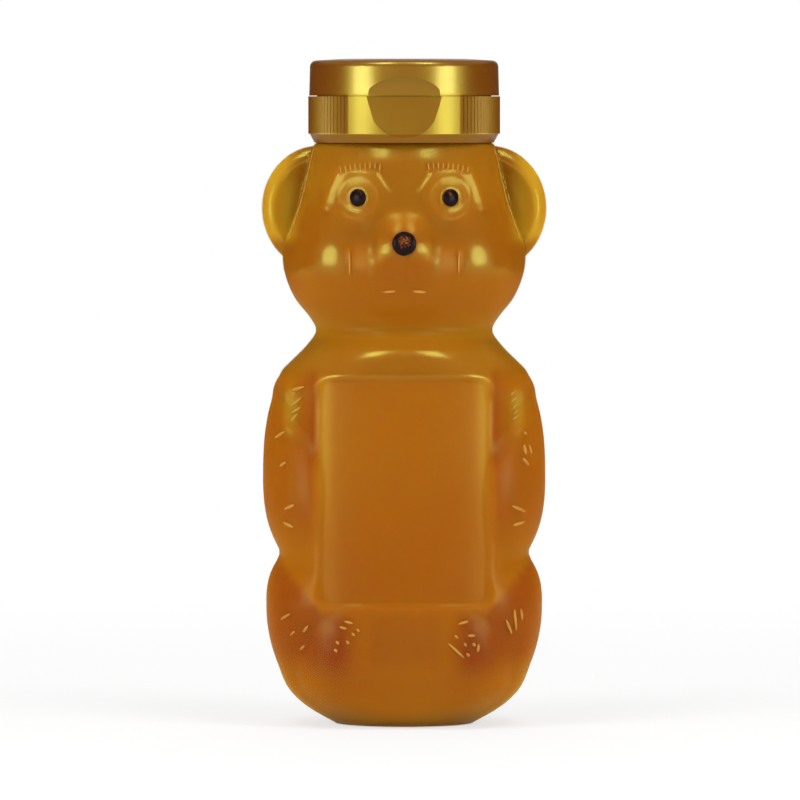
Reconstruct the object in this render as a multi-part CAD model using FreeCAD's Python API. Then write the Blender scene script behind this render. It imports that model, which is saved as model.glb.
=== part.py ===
import FreeCAD, Part
import math
import os

# Squeeze bottle in the shape of a sitting bear, filled with honey, under a 38 mm flip-top closure.
# Millimetres.  +X is to the right of someone facing the bear, -Y is its face, +Z is up, and the
# origin is the centre of the base that it stands on.

# ---- bottle --------------------------------------------------------------------------------------
WALL = 0.8                    # blown wall
FOOT_RING_RADIUS = 15.0       # flat rim that the bottle stands on
SEAT_HEIGHT = 19.0            # where the lower body is fullest
SEAT_HALF_WIDTH = 26.8
SEAT_HALF_DEPTH = 23.8
WAIST_HEIGHT = 38.4           # crease between arms and haunches
TRUNK_HALF_WIDTH = 27.0
TRUNK_HALF_DEPTH = 25.4
SHOULDER_HEIGHT = 74.0
NECK_HEIGHT = 85.2            # crease between shoulders and head
NECK_HALF_WIDTH = 19.3
NECK_HALF_DEPTH = 18.0
CHEEK_HEIGHT = 100.0          # where the head is widest
HEAD_HALF_WIDTH = 25.7
HEAD_HALF_DEPTH = 21.7
BROW_HEIGHT = 113.8
BROW_HALF_WIDTH = 22.6
BROW_HALF_DEPTH = 20.9
CROWN_HEIGHT = 125.6          # top of the head, where the neck finish starts
CROWN_RADIUS = 19.3
TRUNK_SQUARENESS = 2.6        # exponent of the superellipse sections
HEAD_SQUARENESS = 2.1
BLEND = 0.8                   # softness of the creases between body and limbs
PUSH_UP = 2.2                 # hollow under the base
PUSH_UP_RADIUS = 12.5

# label panels, front and back
PANEL_WIDTH = 37.0
PANEL_BOTTOM = 27.0
PANEL_TOP = 75.6
PANEL_DEPTH = 0.8
PANEL_CORNER = 2.5
PANEL_CURVE_RADIUS = 46.0

# Limbs and face are reliefs on the body: the direction they point in, in degrees from straight
# ahead, their height, how far they stand out, half their size across, up and down, how much the
# direction turns per mm of height, and how blunt they are.
ARM = dict(toward=82.0, z=55.4, lift=3.8, across=46.0, up=19.6, down=18.0, turn=0.8, blunt=3.0)
HAUNCH = dict(toward=80.0, z=26.2, lift=2.9, across=44.0, up=10.2, down=17.8, turn=0.0, blunt=2.7)
LEG = dict(toward=34.0, z=13.0, lift=2.2, across=26.0, up=11.0, down=10.5, turn=0.0, blunt=2.8)
LAP = dict(toward=0.0, z=12.0, lift=1.0, across=60.0, up=11.5, down=11.0, turn=0.0, blunt=4.0)
CHEEK = dict(toward=47.0, z=101.5, lift=1.6, across=24.0, up=10.0, down=9.5, turn=0.0, blunt=2.0)
MUZZLE = dict(toward=0.0, z=99.6, lift=3.0, across=31.0, up=9.0, down=8.4, turn=0.0, blunt=1.8)
SNOUT = dict(toward=0.0, z=104.0, lift=4.0, across=13.0, up=4.6, down=6.0, turn=0.0, blunt=1.8)
LOBES = (ARM, HAUNCH, LEG, LAP, CHEEK, MUZZLE, SNOUT)

EAR_REACH = 31.0
EAR_HALF_WIDTH = 12.4
EAR_HALF_DEPTH = 4.3
EAR_HALF_HEIGHT = 13.6
EAR_HEIGHT = 111.9
EAR_SET_BACK = 1.0
EAR_DISH_DEPTH = 1.1
EAR_RIM = 1.5

# painted beads
EYE_SPACING = 20.0
EYE_HEIGHT = 114.3
EYE_DIAMETER = 3.8
NOSE_HEIGHT = 104.6
NOSE_DIAMETER = 5.2
BEAD_PROUD = 0.8              # how far eyes and nose stand out of the face

# ---- honey ---------------------------------------------------------------------------------------
FILL_HEIGHT = 124.4            # under the crown
NECK_FILL_HEIGHT = 128.0       # inside the neck
FILL_CLEARANCE = 0.2

# ---- neck finish, 38-400 -------------------------------------------------------------------------
NECK_FINISH_RADIUS = 17.5
BORE_RADIUS = 15.6
LIP_HEIGHT = 136.2
THREAD_PITCH = 25.4 / 6
THREAD_TURNS = 1.25
THREAD_SINK = 0.3             # how deep a thread is rooted in its wall
THREAD_START = 128.3          # height of the neck thread's middle where it starts
NECK_THREAD_DEPTH = 1.2
NECK_THREAD_ROOT_WIDTH = 2.1
NECK_THREAD_CREST_WIDTH = 1.1

# ---- closure -------------------------------------------------------------------------------------
SKIRT_RADIUS = 20.5
SKIRT_WALL = 1.45
SKIRT_BOTTOM = 126.1
SKIRT_CHAMFER_HEIGHT = 1.9
SKIRT_CHAMFER_INSET = 1.0
RIB_DEPTH = 0.3
RIB_PITCH_DEG = 3.0
SMOOTH_FRONT_DEG = 36.0       # half angle of the bare front between the ribbed sides
SMOOTH_BACK_DEG = 30.0        # half angle of the bare back round the hinge
PARTING_HEIGHT = 136.1
DECK_RISE = 2.5
DECK_THICKNESS = 1.3
RISER_WALL = 1.05
NECK_CLEARANCE = 0.35         # between neck finish and closure
CLOSURE_THREAD_DEPTH = 1.05
CLOSURE_THREAD_ROOT_WIDTH = 1.6
CLOSURE_THREAD_CREST_WIDTH = 0.8
CLOSURE_THREAD_TURNS = 1.1
THREAD_CLEARANCE = 0.3
PLUG_CLEARANCE = 0.25
PLUG_WALL = 0.95
PLUG_LENGTH = 2.8
ORIFICE_RADIUS = 3.2
NOZZLE_WALL = 1.4
NOZZLE_HEIGHT = 2.4

LINER_THICKNESS = 0.95
LINER_CLEARANCE = 0.05

# ---- lid -----------------------------------------------------------------------------------------
LID_TOP = 144.2
LID_TOP_RADIUS = 20.4
LID_BOTTOM_RADIUS = 20.6
LID_THICKNESS = 1.3
LID_EDGE_FILLET = 1.4
LID_CROWN_DROP = 0.4
LID_CROWN_RADIUS = 13.5
LID_GAP = 0.15
LID_CLEARANCE = 0.2
PIN_CLEARANCE = 0.45
PIN_ENTRY = 1.8
SPUD_CLEARANCE = 0.5
SPUD_WALL = 0.9
SPUD_OVERLAP = 0.8

# thumb recess: an egg outline, its upper part in the lid and its lower part in the skirt
THUMB_HALF_WIDTH = 8.1
THUMB_RISE = 4.1
THUMB_FALL = 9.0
THUMB_LID_DEPTH = 0.8
THUMB_SKIRT_DEPTH = 1.0
THUMB_FLOOR_RADIUS = 49.0
THUMB_FLOOR_TILT_DEG = 4.0

# living hinge at the back
HINGE_AXIS_Y = 20.925
FILM_THICKNESS = 0.35
FILM_WIDTH = 10.0
HINGE_GAP = 1.3               # free height between the plinths, bridged by film and springs
PLINTH_WIDTH = 17.6
PLINTH_HEIGHT = 4.6
PLINTH_CHAMFER = 0.8
PLINTH_ROOT = 6.0             # how far its block starts inside the skirt
SPRING_WIDTH = 2.2
SPRING_LENGTH = 5.3
SPRING_THICKNESS = 0.5
SPRING_POCKET_CLEARANCE = 0.15
SPRING_GAP = 0.3              # between the film and a spring's pocket
CUTTER_OVERRUN = 1.0          # how far a cutter reaches past what it cuts

# ---- worked out from the sizes above -------------------------------------------------------------
EYE_X = EYE_SPACING / 2
SKIRT_BORE = SKIRT_RADIUS - SKIRT_WALL
NECK_THREAD_CREST = NECK_FINISH_RADIUS + NECK_THREAD_DEPTH
# the closure's thread rides under the neck's, clear of its lower flank
CLOSURE_THREAD_START = (
    THREAD_START
    - (NECK_THREAD_ROOT_WIDTH + CLOSURE_THREAD_ROOT_WIDTH) / 2
    - THREAD_CLEARANCE
    + THREAD_PITCH
)
CLOSURE_THREAD_CREST = SKIRT_BORE - CLOSURE_THREAD_DEPTH
RISER_BORE = NECK_FINISH_RADIUS + NECK_CLEARANCE
RISER_RADIUS = RISER_BORE + RISER_WALL
DECK_TOP = PARTING_HEIGHT + DECK_RISE
DECK_UNDERSIDE = DECK_TOP - DECK_THICKNESS
LEDGE_UNDERSIDE = PARTING_HEIGHT - DECK_THICKNESS
PLUG_RADIUS = BORE_RADIUS - PLUG_CLEARANCE
NOZZLE_RADIUS = ORIFICE_RADIUS + NOZZLE_WALL
NOZZLE_TOP = DECK_TOP + NOZZLE_HEIGHT
LID_BOTTOM = PARTING_HEIGHT + LID_GAP
LID_BORE = RISER_RADIUS + LID_CLEARANCE
LID_UNDERSIDE = LID_TOP - LID_THICKNESS
HINGE_FACE_Y = HINGE_AXIS_Y + FILM_THICKNESS / 2
SPRING_X = (FILM_WIDTH + SPRING_WIDTH) / 2 + SPRING_POCKET_CLEARANCE + SPRING_GAP
HINGE_HEIGHT = PARTING_HEIGHT + LID_GAP / 2

UP = FreeCAD.Vector(0, 0, 1)
ACROSS = FreeCAD.Vector(1, 0, 0)
BACKWARD = FreeCAD.Vector(0, 1, 0)
ORIGIN = FreeCAD.Vector(0, 0, 0)


def at(x, y, z):
    return FreeCAD.Vector(x, y, z)


# ---- shape helpers -------------------------------------------------------------------------------

# Control points moved out from the rings, so that the skin passes through the rings themselves.
def sharpened(rings):
    around = len(rings[0])
    control = []
    for level, points in enumerate(rings):
        row = []
        for index, point in enumerate(points):
            bend = points[index - 1] + points[(index + 1) % around] - point * 2
            if 1 < level < len(rings) - 2:
                bend = bend + rings[level - 1][index] + rings[level + 1][index] - point * 2
            row.append(point - bend * NEIGHBOUR_SHARE)
        control.append(row)
    return control


# A closed solid inside one smooth skin, drawn over level rings of points from the bottom ring to
# the top one, with a flat face at either end.
def skinned(rings):
    around = len(rings[0])
    spans = len(rings) - 3
    rows = sharpened(rings)
    control = [[row[index] for row in rows] for index in range(around)]
    surface = Part.BSplineSurface()
    surface.buildFromPolesMultsKnots(
        control,
        [1] * (around + 1),
        [4] + [1] * (spans - 1) + [4],
        [float(knot) for knot in range(around + 1)],
        [float(knot) for knot in range(spans + 1)],
        True,
        False,
        3,
        3,
    )
    side = surface.toShape()
    ends = [Part.Face(Part.Wire([edge])) for edge in side.Edges if edge.isClosed()]
    shell = Part.makeShell([side] + ends)
    shell.sewShape()
    return Part.makeSolid(shell)


def revolved(outline):
    points = [at(radius, 0, height) for radius, height in outline]
    face = Part.Face(Part.makePolygon(points + [points[0]]))
    return face.revolve(ORIGIN, UP, 360)


def ring(outer, inner, bottom, top):
    return revolved([(inner, bottom), (outer, bottom), (outer, top), (inner, top)])


def disc(radius, bottom, top):
    return Part.makeCylinder(radius, top - bottom, at(0, 0, bottom))


def mirrored(shape):
    return shape.mirror(ORIGIN, ACROSS)


def fused(first, *others):
    return first.multiFuse(list(others)).removeSplitter()


# ---- the bear's form -----------------------------------------------------------------------------

DRAWN_FALL = 11.2             # from shoulder to neck, where the points between them were drawn
FALL = (NECK_HEIGHT - SHOULDER_HEIGHT) / DRAWN_FALL

# Outline of body and head: (height, half width, half depth) from the foot ring to the crown.
CORE = [
    (0.0, FOOT_RING_RADIUS, FOOT_RING_RADIUS - 0.2),
    (1.3, FOOT_RING_RADIUS + 1.9, FOOT_RING_RADIUS + 1.4),
    (3.9, FOOT_RING_RADIUS + 6.1, FOOT_RING_RADIUS + 4.6),
    (7.8, SEAT_HALF_WIDTH - 1.8, SEAT_HALF_DEPTH - 1.8),
    (13.0, SEAT_HALF_WIDTH - 0.8, SEAT_HALF_DEPTH - 0.8),
    (SEAT_HEIGHT, SEAT_HALF_WIDTH, SEAT_HALF_DEPTH),
    (SEAT_HEIGHT + 5.0, SEAT_HALF_WIDTH + 0.4, TRUNK_HALF_DEPTH - 0.4),
    (WAIST_HEIGHT, TRUNK_HALF_WIDTH + 0.2, TRUNK_HALF_DEPTH),
    (SHOULDER_HEIGHT - 18.0, TRUNK_HALF_WIDTH, TRUNK_HALF_DEPTH),
    (SHOULDER_HEIGHT - 4.0, TRUNK_HALF_WIDTH - 0.2, TRUNK_HALF_DEPTH),
    (SHOULDER_HEIGHT, TRUNK_HALF_WIDTH + 0.6, TRUNK_HALF_DEPTH - 0.1),
    (SHOULDER_HEIGHT + 2.7 * FALL, TRUNK_HALF_WIDTH - 0.4, TRUNK_HALF_DEPTH - 0.4),
    (SHOULDER_HEIGHT + 5.0 * FALL, TRUNK_HALF_WIDTH - 2.6, TRUNK_HALF_DEPTH - 1.0),
    (NECK_HEIGHT - 3.2 * FALL, NECK_HALF_WIDTH + 2.1, NECK_HALF_DEPTH + 4.6),
    (NECK_HEIGHT, NECK_HALF_WIDTH, NECK_HALF_DEPTH),
    (NECK_HEIGHT + 2.6, NECK_HALF_WIDTH + 1.1, NECK_HALF_DEPTH + 0.4),
    (CHEEK_HEIGHT - 7.7, HEAD_HALF_WIDTH - 1.9, HEAD_HALF_DEPTH - 1.3),
    (CHEEK_HEIGHT - 2.5, HEAD_HALF_WIDTH - 0.1, HEAD_HALF_DEPTH - 0.2),
    (CHEEK_HEIGHT + 2.9, HEAD_HALF_WIDTH - 0.1, HEAD_HALF_DEPTH),
    (BROW_HEIGHT - 5.4, BROW_HALF_WIDTH + 1.6, BROW_HALF_DEPTH + 0.4),
    (BROW_HEIGHT, BROW_HALF_WIDTH, BROW_HALF_DEPTH),
    (CROWN_HEIGHT - 6.4, CROWN_RADIUS + 2.0, CROWN_RADIUS + 1.1),
    (CROWN_HEIGHT - 1.6, CROWN_RADIUS + 0.9, CROWN_RADIUS + 0.6),
    (CROWN_HEIGHT, CROWN_RADIUS, CROWN_RADIUS),
]
WIDTH = 1
DEPTH = 2
LONGEST_SPAN = 3.4            # between two sections of the loft
SHORTEST_SPAN = 0.5
SECTION_POINTS = 40
EAR_LEVELS = 13
EAR_POINTS = 20
EAR_END_GAP = 0.3             # of a level, between the ear's tips and its end rings
NEIGHBOUR_SHARE = 1 / 6       # of each next control point, in a point of a cubic skin
SLOPE_STEP = 0.1
STEEPEST_INSET = 2.5          # most that a sloping wall widens a level inset
SEARCH_STEPS = 12             # rounds that settle on the bearing of a point of the face
ALIGNED = 0.99                # cosine from which an edge counts as running along an axis
TOUCHING = 0.01


# Slope of the outline at one of its points, from its neighbours.
def outline_slope(index, column):
    below = CORE[max(index - 1, 0)]
    above = CORE[min(index + 1, len(CORE) - 1)]
    return (above[column] - below[column]) / (above[0] - below[0])


# Half width or half depth of the outline at any height, on a smooth curve through its points.
def outline(height, column):
    index = 0
    while index < len(CORE) - 2 and height > CORE[index + 1][0]:
        index += 1
    low, high = CORE[index], CORE[index + 1]
    span = high[0] - low[0]
    t = (height - low[0]) / span
    start = outline_slope(index, column) * span
    finish = outline_slope(index + 1, column) * span
    return (
        (2 * t ** 3 - 3 * t ** 2 + 1) * low[column]
        + (t ** 3 - 2 * t ** 2 + t) * start
        + (3 * t ** 2 - 2 * t ** 3) * high[column]
        + (t ** 3 - t ** 2) * finish
    )


# How far an inset measured square to the wall comes in, measured level.
def level_inset(height, column, inset):
    low = max(height - SLOPE_STEP, 0)
    high = min(height + SLOPE_STEP, CROWN_HEIGHT)
    slope = (outline(high, column) - outline(low, column)) / (high - low)
    return inset * min(math.hypot(1, slope), STEEPEST_INSET)


# Round at the foot ring and the crown, squarer along the trunk.
def squareness(height):
    if height < SEAT_HEIGHT:
        return 2 + (TRUNK_SQUARENESS - 2) * min(2 * height / SEAT_HEIGHT, 1)
    if height < NECK_HEIGHT:
        share = max(0, (height - SHOULDER_HEIGHT) / (NECK_HEIGHT - SHOULDER_HEIGHT))
        return TRUNK_SQUARENESS + (HEAD_SQUARENESS - TRUNK_SQUARENESS) * share
    share = max(0, (height - BROW_HEIGHT) / (CROWN_HEIGHT - BROW_HEIGHT))
    return HEAD_SQUARENESS + (2 - HEAD_SQUARENESS) * share


# The larger of two reliefs, rounded where they cross.
def soft_larger(first, second):
    closeness = max(BLEND - abs(first - second), 0) / BLEND
    return max(first, second) + closeness ** 2 * BLEND / 4


# How far the limbs and the face stand out of the body in one direction at one height.
def relief(toward, height):
    total = 0.0
    for lobe in LOBES:
        rise = height - lobe["z"]
        upright = rise / (lobe["up"] if rise > 0 else lobe["down"])
        sideways = (toward - lobe["toward"] - lobe["turn"] * rise) / lobe["across"]
        distance = math.hypot(upright, sideways)
        total = soft_larger(total, lobe["lift"] * (1 - distance ** lobe["blunt"]))
    return total


# Distance from the axis to the bear's surface, in degrees from straight ahead, at one height.
def body_reach(bearing, height, inset):
    sideways = abs(math.sin(math.radians(bearing)))
    ahead = abs(math.cos(math.radians(bearing)))
    power = squareness(height)
    half_width = outline(height, WIDTH) - level_inset(height, WIDTH, inset)
    half_depth = outline(height, DEPTH) - level_inset(height, DEPTH, inset)
    core = ((sideways / half_width) ** power + (ahead / half_depth) ** power) ** (-1 / power)
    return core + relief(abs(bearing), height)


# Heights of the loft's sections: the outline's own points, with long spans divided.
def section_heights(bottom, top):
    levels = [bottom]
    levels += [point[0] for point in CORE if bottom + SHORTEST_SPAN < point[0] < top - SHORTEST_SPAN]
    levels += [top]
    heights = []
    for low, high in zip(levels, levels[1:]):
        steps = max(1, round((high - low) / LONGEST_SPAN))
        heights += [low + (high - low) * step / steps for step in range(steps)]
    return heights + [top]


def surface_point(bearing, height, inset):
    reach = body_reach(bearing, height, inset)
    turned = math.radians(bearing)
    return at(reach * math.sin(turned), -reach * math.cos(turned), height)


def body_section(height, inset):
    step = 360 / SECTION_POINTS
    bearings = [-180 + step * (index + 0.5) for index in range(SECTION_POINTS)]
    return [surface_point(bearing, height, inset) for bearing in bearings]


def body_form(inset, top):
    return skinned([body_section(height, inset) for height in section_heights(inset, top)])


# One ear's lens, upright from its foot to its tip.
def ear_lens(inset):
    half_width = EAR_HALF_WIDTH - inset
    half_height = EAR_HALF_HEIGHT - inset
    half_depth = EAR_HALF_DEPTH - inset
    rings = []
    for level in range(EAR_LEVELS):
        share_up = (level + EAR_END_GAP) / (EAR_LEVELS - 1 + 2 * EAR_END_GAP)
        rise = -math.cos(math.pi * share_up)
        share = math.sqrt(1 - rise ** 2)
        ring_points = []
        for step in range(EAR_POINTS):
            turned = 2 * math.pi * step / EAR_POINTS
            x = EAR_REACH - EAR_HALF_WIDTH + half_width * share * math.cos(turned)
            y = EAR_SET_BACK + half_depth * share * math.sin(turned)
            ring_points.append(at(x, y, EAR_HEIGHT + half_height * rise))
        rings.append(ring_points)
    return skinned(rings)


# The shallow bowl in the front of an ear, which leaves a raised rim round its edge.
def ear_dish(inset):
    half_width = EAR_HALF_WIDTH - EAR_RIM + inset
    half_height = EAR_HALF_HEIGHT - EAR_RIM + inset
    half_depth = EAR_HALF_DEPTH - EAR_DISH_DEPTH + inset
    stretch = FreeCAD.Matrix()
    stretch.scale(half_width, half_depth, half_height)
    bowl = Part.makeSphere(1.0).transformGeometry(stretch)
    bowl.translate(at(EAR_REACH - EAR_HALF_WIDTH, EAR_SET_BACK - EAR_HALF_DEPTH, EAR_HEIGHT))
    return bowl


def ears(inset):
    right = ear_lens(inset).cut(ear_dish(inset))
    return [right, mirrored(right)]


# A recess cutter with rounded corners, whose floor curves gently about an upright axis.
def panel_cutter(inset):
    half = PANEL_WIDTH / 2 + inset
    bottom = PANEL_BOTTOM - inset
    height = PANEL_TOP - PANEL_BOTTOM + 2 * inset
    reach = TRUNK_HALF_DEPTH + WALL + BLEND
    block = Part.makeBox(2 * half, reach, height, at(-half, -reach, bottom))
    corners = [edge for edge in block.Edges if abs(edge.tangentAt(edge.FirstParameter).y) > ALIGNED]
    block = block.makeFillet(PANEL_CORNER + inset, corners)
    floor_centre = PANEL_CURVE_RADIUS - TRUNK_HALF_DEPTH + PANEL_DEPTH
    floor = Part.makeCylinder(PANEL_CURVE_RADIUS - inset, height, at(0, floor_centre, bottom))
    return block.cut(floor)


# Both label recesses and the hollow under the base, for one skin of the wall.
def recesses(inset):
    front = panel_cutter(inset)
    back = front.mirror(ORIGIN, BACKWARD)
    rise = PUSH_UP + inset
    chord = PUSH_UP_RADIUS + inset
    radius = (chord ** 2 + rise ** 2) / (2 * rise)
    hollow = Part.makeSphere(radius, at(0, 0, rise - radius))
    return [front, back, hollow]


# ---- bottle --------------------------------------------------------------------------------------

# A ridge carried up a right-hand helix.  Its flanks run on a little way into the wall that carries it.
def thread_ridge(root, crest, root_width, crest_width, start, turns):
    sunk = root - math.copysign(THREAD_SINK, crest - root)
    sunk_width = root_width + THREAD_SINK * (root_width - crest_width) / abs(crest - root)
    corners = [
        at(sunk, 0, -sunk_width / 2),
        at(crest, 0, -crest_width / 2),
        at(crest, 0, crest_width / 2),
        at(sunk, 0, sunk_width / 2),
    ]
    profile = Part.makePolygon(corners + [corners[0]])
    helix = Part.makeHelix(THREAD_PITCH, THREAD_PITCH * turns, root)
    ridge = Part.Wire(helix.Edges).makePipeShell([profile], True, True)
    ridge.translate(at(0, 0, start))
    return ridge


def neck_finish():
    wall = ring(NECK_FINISH_RADIUS, BORE_RADIUS, CROWN_HEIGHT - WALL / 2, LIP_HEIGHT)
    thread = thread_ridge(
        NECK_FINISH_RADIUS,
        NECK_THREAD_CREST,
        NECK_THREAD_ROOT_WIDTH,
        NECK_THREAD_CREST_WIDTH,
        THREAD_START,
        THREAD_TURNS,
    )
    return fused(wall, thread)


# Body, head and ears as one solid, inside the wall by inset, up to one height.
def bear_form(inset, top):
    return fused(body_form(inset, top), *ears(inset)).cut(recesses(inset))


def bottle_shell(outside):
    bore = disc(BORE_RADIUS, CROWN_HEIGHT - 2 * WALL, LIP_HEIGHT)
    chamber = bear_form(WALL, CROWN_HEIGHT - WALL)
    return fused(outside, neck_finish()).cut([chamber, bore])


def honey_fill():
    column = disc(BORE_RADIUS - FILL_CLEARANCE, FILL_HEIGHT - WALL, NECK_FILL_HEIGHT)
    return fused(bear_form(WALL + FILL_CLEARANCE, FILL_HEIGHT), column)


# The point of the face that lies straight behind one x and height.
def face_point(x, height):
    bearing = 0.0
    for _ in range(SEARCH_STEPS):
        bearing = math.degrees(math.asin(x / body_reach(bearing, height, 0)))
    return surface_point(bearing, height, 0)


# A painted bead: a flattened ball centred on the face, facing the way the face does there, with
# what lies inside the bottle taken away.
def bead(x, height, diameter, outside):
    flatten = FreeCAD.Matrix()
    flatten.scale(diameter / 2, BEAD_PROUD, diameter / 2)
    ball = Part.makeSphere(1.0).transformGeometry(flatten)
    seat = face_point(x, height)
    ball.rotate(ORIGIN, UP, math.degrees(math.atan2(seat.x, -seat.y)))
    ball.translate(seat)
    return ball.cut(outside)


# ---- closure -------------------------------------------------------------------------------------

# The egg-shaped cutter of the thumb recess, for the lid's part above or the skirt's part below.
def thumb_cutter(half_height, depth, above):
    reach = SKIRT_RADIUS + CUTTER_OVERRUN
    stretch = FreeCAD.Matrix()
    stretch.scale(THUMB_HALF_WIDTH, 1, half_height)
    round_bar = Part.makeCylinder(1.0, reach, ORIGIN, at(0, -1, 0)).transformGeometry(stretch)
    round_bar.translate(at(0, 0, PARTING_HEIGHT))
    tall = 2 * half_height
    floor_back = depth - SKIRT_RADIUS + THUMB_FLOOR_RADIUS
    floor = Part.makeCylinder(THUMB_FLOOR_RADIUS, 2 * tall, at(0, floor_back, PARTING_HEIGHT - tall))
    if not above:
        hinge_line = at(0, depth - SKIRT_RADIUS, PARTING_HEIGHT)
        floor.rotate(hinge_line, ACROSS, -THUMB_FLOOR_TILT_DEG)
    return round_bar.cut(floor)


# A strip of upright ribs on the skirt between two bearings, in degrees from straight ahead.
def rib_strip(first, last):
    count = int((last - first) / RIB_PITCH_DEG)
    crest = SKIRT_RADIUS + RIB_DEPTH
    root = SKIRT_RADIUS - SKIRT_WALL / 2
    bottom = SKIRT_BOTTOM + SKIRT_CHAMFER_HEIGHT
    points = []
    for index in range(count + 1):
        valley = math.radians(first + index * RIB_PITCH_DEG)
        points.append(at(SKIRT_RADIUS * math.sin(valley), -SKIRT_RADIUS * math.cos(valley), bottom))
        if index < count:
            ridge = valley + math.radians(RIB_PITCH_DEG / 2)
            points.append(at(crest * math.sin(ridge), -crest * math.cos(ridge), bottom))
    for index in range(count, -1, -1):
        inner = math.radians(first + index * RIB_PITCH_DEG)
        points.append(at(root * math.sin(inner), -root * math.cos(inner), bottom))
    face = Part.Face(Part.makePolygon(points + [points[0]]))
    return face.extrude(at(0, 0, PARTING_HEIGHT - bottom))


# A block on the back of skirt or lid that carries the hinge, with a pocket for each spring.
def plinth(bottom, top, pocket_bottom, pocket_top, bore):
    half = PLINTH_WIDTH / 2
    inner_y = SKIRT_RADIUS - PLINTH_ROOT
    block = Part.makeBox(PLINTH_WIDTH, HINGE_FACE_Y - inner_y, top - bottom, at(-half, inner_y, bottom))
    sides = [
        edge for edge in block.Edges
        if abs(edge.tangentAt(edge.FirstParameter).z) > ALIGNED and edge.CenterOfMass.y > SKIRT_RADIUS
    ]
    block = block.makeChamfer(PLINTH_CHAMFER, sides)
    pocket_width = SPRING_WIDTH + 2 * SPRING_POCKET_CLEARANCE
    pocket_depth = SPRING_THICKNESS + SPRING_POCKET_CLEARANCE
    for side in (-1, 1):
        pocket = Part.makeBox(
            pocket_width,
            pocket_depth + CUTTER_OVERRUN,
            pocket_top - pocket_bottom,
            at(side * SPRING_X - pocket_width / 2, HINGE_FACE_Y - pocket_depth, pocket_bottom),
        )
        block = block.cut(pocket)
    return block.cut(disc(bore, bottom - CUTTER_OVERRUN, top + CUTTER_OVERRUN))


def closure_base():
    wall_profile = [
        (SKIRT_BORE, SKIRT_BOTTOM),
        (SKIRT_RADIUS - SKIRT_CHAMFER_INSET, SKIRT_BOTTOM),
        (SKIRT_RADIUS, SKIRT_BOTTOM + SKIRT_CHAMFER_HEIGHT),
        (SKIRT_RADIUS, PARTING_HEIGHT),
        (RISER_RADIUS, PARTING_HEIGHT),
        (RISER_RADIUS, DECK_TOP),
        (NOZZLE_RADIUS, DECK_TOP),
        (NOZZLE_RADIUS, NOZZLE_TOP),
        (ORIFICE_RADIUS, NOZZLE_TOP),
        (ORIFICE_RADIUS, DECK_UNDERSIDE),
        (PLUG_RADIUS - PLUG_WALL, DECK_UNDERSIDE),
        (PLUG_RADIUS - PLUG_WALL, DECK_UNDERSIDE - PLUG_LENGTH),
        (PLUG_RADIUS, DECK_UNDERSIDE - PLUG_LENGTH),
        (PLUG_RADIUS, DECK_UNDERSIDE),
        (RISER_BORE, DECK_UNDERSIDE),
        (RISER_BORE, LEDGE_UNDERSIDE),
        (SKIRT_BORE, LEDGE_UNDERSIDE),
    ]
    thread = thread_ridge(
        SKIRT_BORE,
        CLOSURE_THREAD_CREST,
        CLOSURE_THREAD_ROOT_WIDTH,
        CLOSURE_THREAD_CREST_WIDTH,
        CLOSURE_THREAD_START,
        CLOSURE_THREAD_TURNS,
    )
    hinge_seat = plinth(
        HINGE_HEIGHT - HINGE_GAP / 2 - PLINTH_HEIGHT,
        HINGE_HEIGHT - HINGE_GAP / 2,
        HINGE_HEIGHT - SPRING_LENGTH / 2,
        HINGE_HEIGHT,
        SKIRT_RADIUS - SKIRT_WALL / 2,
    )
    ribs = rib_strip(SMOOTH_FRONT_DEG, 180 - SMOOTH_BACK_DEG)
    base = fused(revolved(wall_profile), thread, ribs, mirrored(ribs), hinge_seat)
    return base.cut(thumb_cutter(THUMB_FALL, THUMB_SKIRT_DEPTH, False))


def sealing_ring():
    bottom = LIP_HEIGHT + LINER_CLEARANCE
    return ring(NECK_FINISH_RADIUS, BORE_RADIUS, bottom, bottom + LINER_THICKNESS)


# ---- lid -----------------------------------------------------------------------------------------

def flip_lid():
    wall_top = LID_TOP - LID_CROWN_DROP
    pin_radius = ORIFICE_RADIUS - PIN_CLEARANCE
    spud_bore = NOZZLE_RADIUS + SPUD_CLEARANCE
    shell = revolved([
        (0, LID_TOP),
        (LID_CROWN_RADIUS, LID_TOP),
        (LID_TOP_RADIUS, wall_top),
        (LID_BOTTOM_RADIUS, LID_BOTTOM),
        (LID_BORE, LID_BOTTOM),
        (LID_BORE, LID_UNDERSIDE),
        (0, LID_UNDERSIDE),
    ])
    rim = [
        edge for edge in shell.Edges
        if abs(edge.CenterOfMass.z - wall_top) < TOUCHING and edge.Length > math.pi * LID_TOP_RADIUS
    ]
    shell = shell.makeFillet(LID_EDGE_FILLET, rim)
    pin = disc(pin_radius, NOZZLE_TOP - PIN_ENTRY, LID_UNDERSIDE)
    spud = ring(spud_bore + SPUD_WALL, spud_bore, NOZZLE_TOP - SPUD_OVERLAP, LID_UNDERSIDE)
    hinge_seat = plinth(
        HINGE_HEIGHT + HINGE_GAP / 2,
        HINGE_HEIGHT + HINGE_GAP / 2 + PLINTH_HEIGHT,
        HINGE_HEIGHT,
        HINGE_HEIGHT + SPRING_LENGTH / 2,
        SKIRT_RADIUS - SKIRT_WALL / 2,
    )
    lid = fused(shell, pin, spud, hinge_seat)
    return lid.cut(thumb_cutter(THUMB_RISE, THUMB_LID_DEPTH, True))


# ---- hinge ---------------------------------------------------------------------------------------

def hinge_film():
    bottom = HINGE_HEIGHT - HINGE_GAP / 2
    corner = at(-FILM_WIDTH / 2, HINGE_FACE_Y - FILM_THICKNESS, bottom)
    return Part.makeBox(FILM_WIDTH, FILM_THICKNESS, HINGE_GAP, corner)


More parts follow.
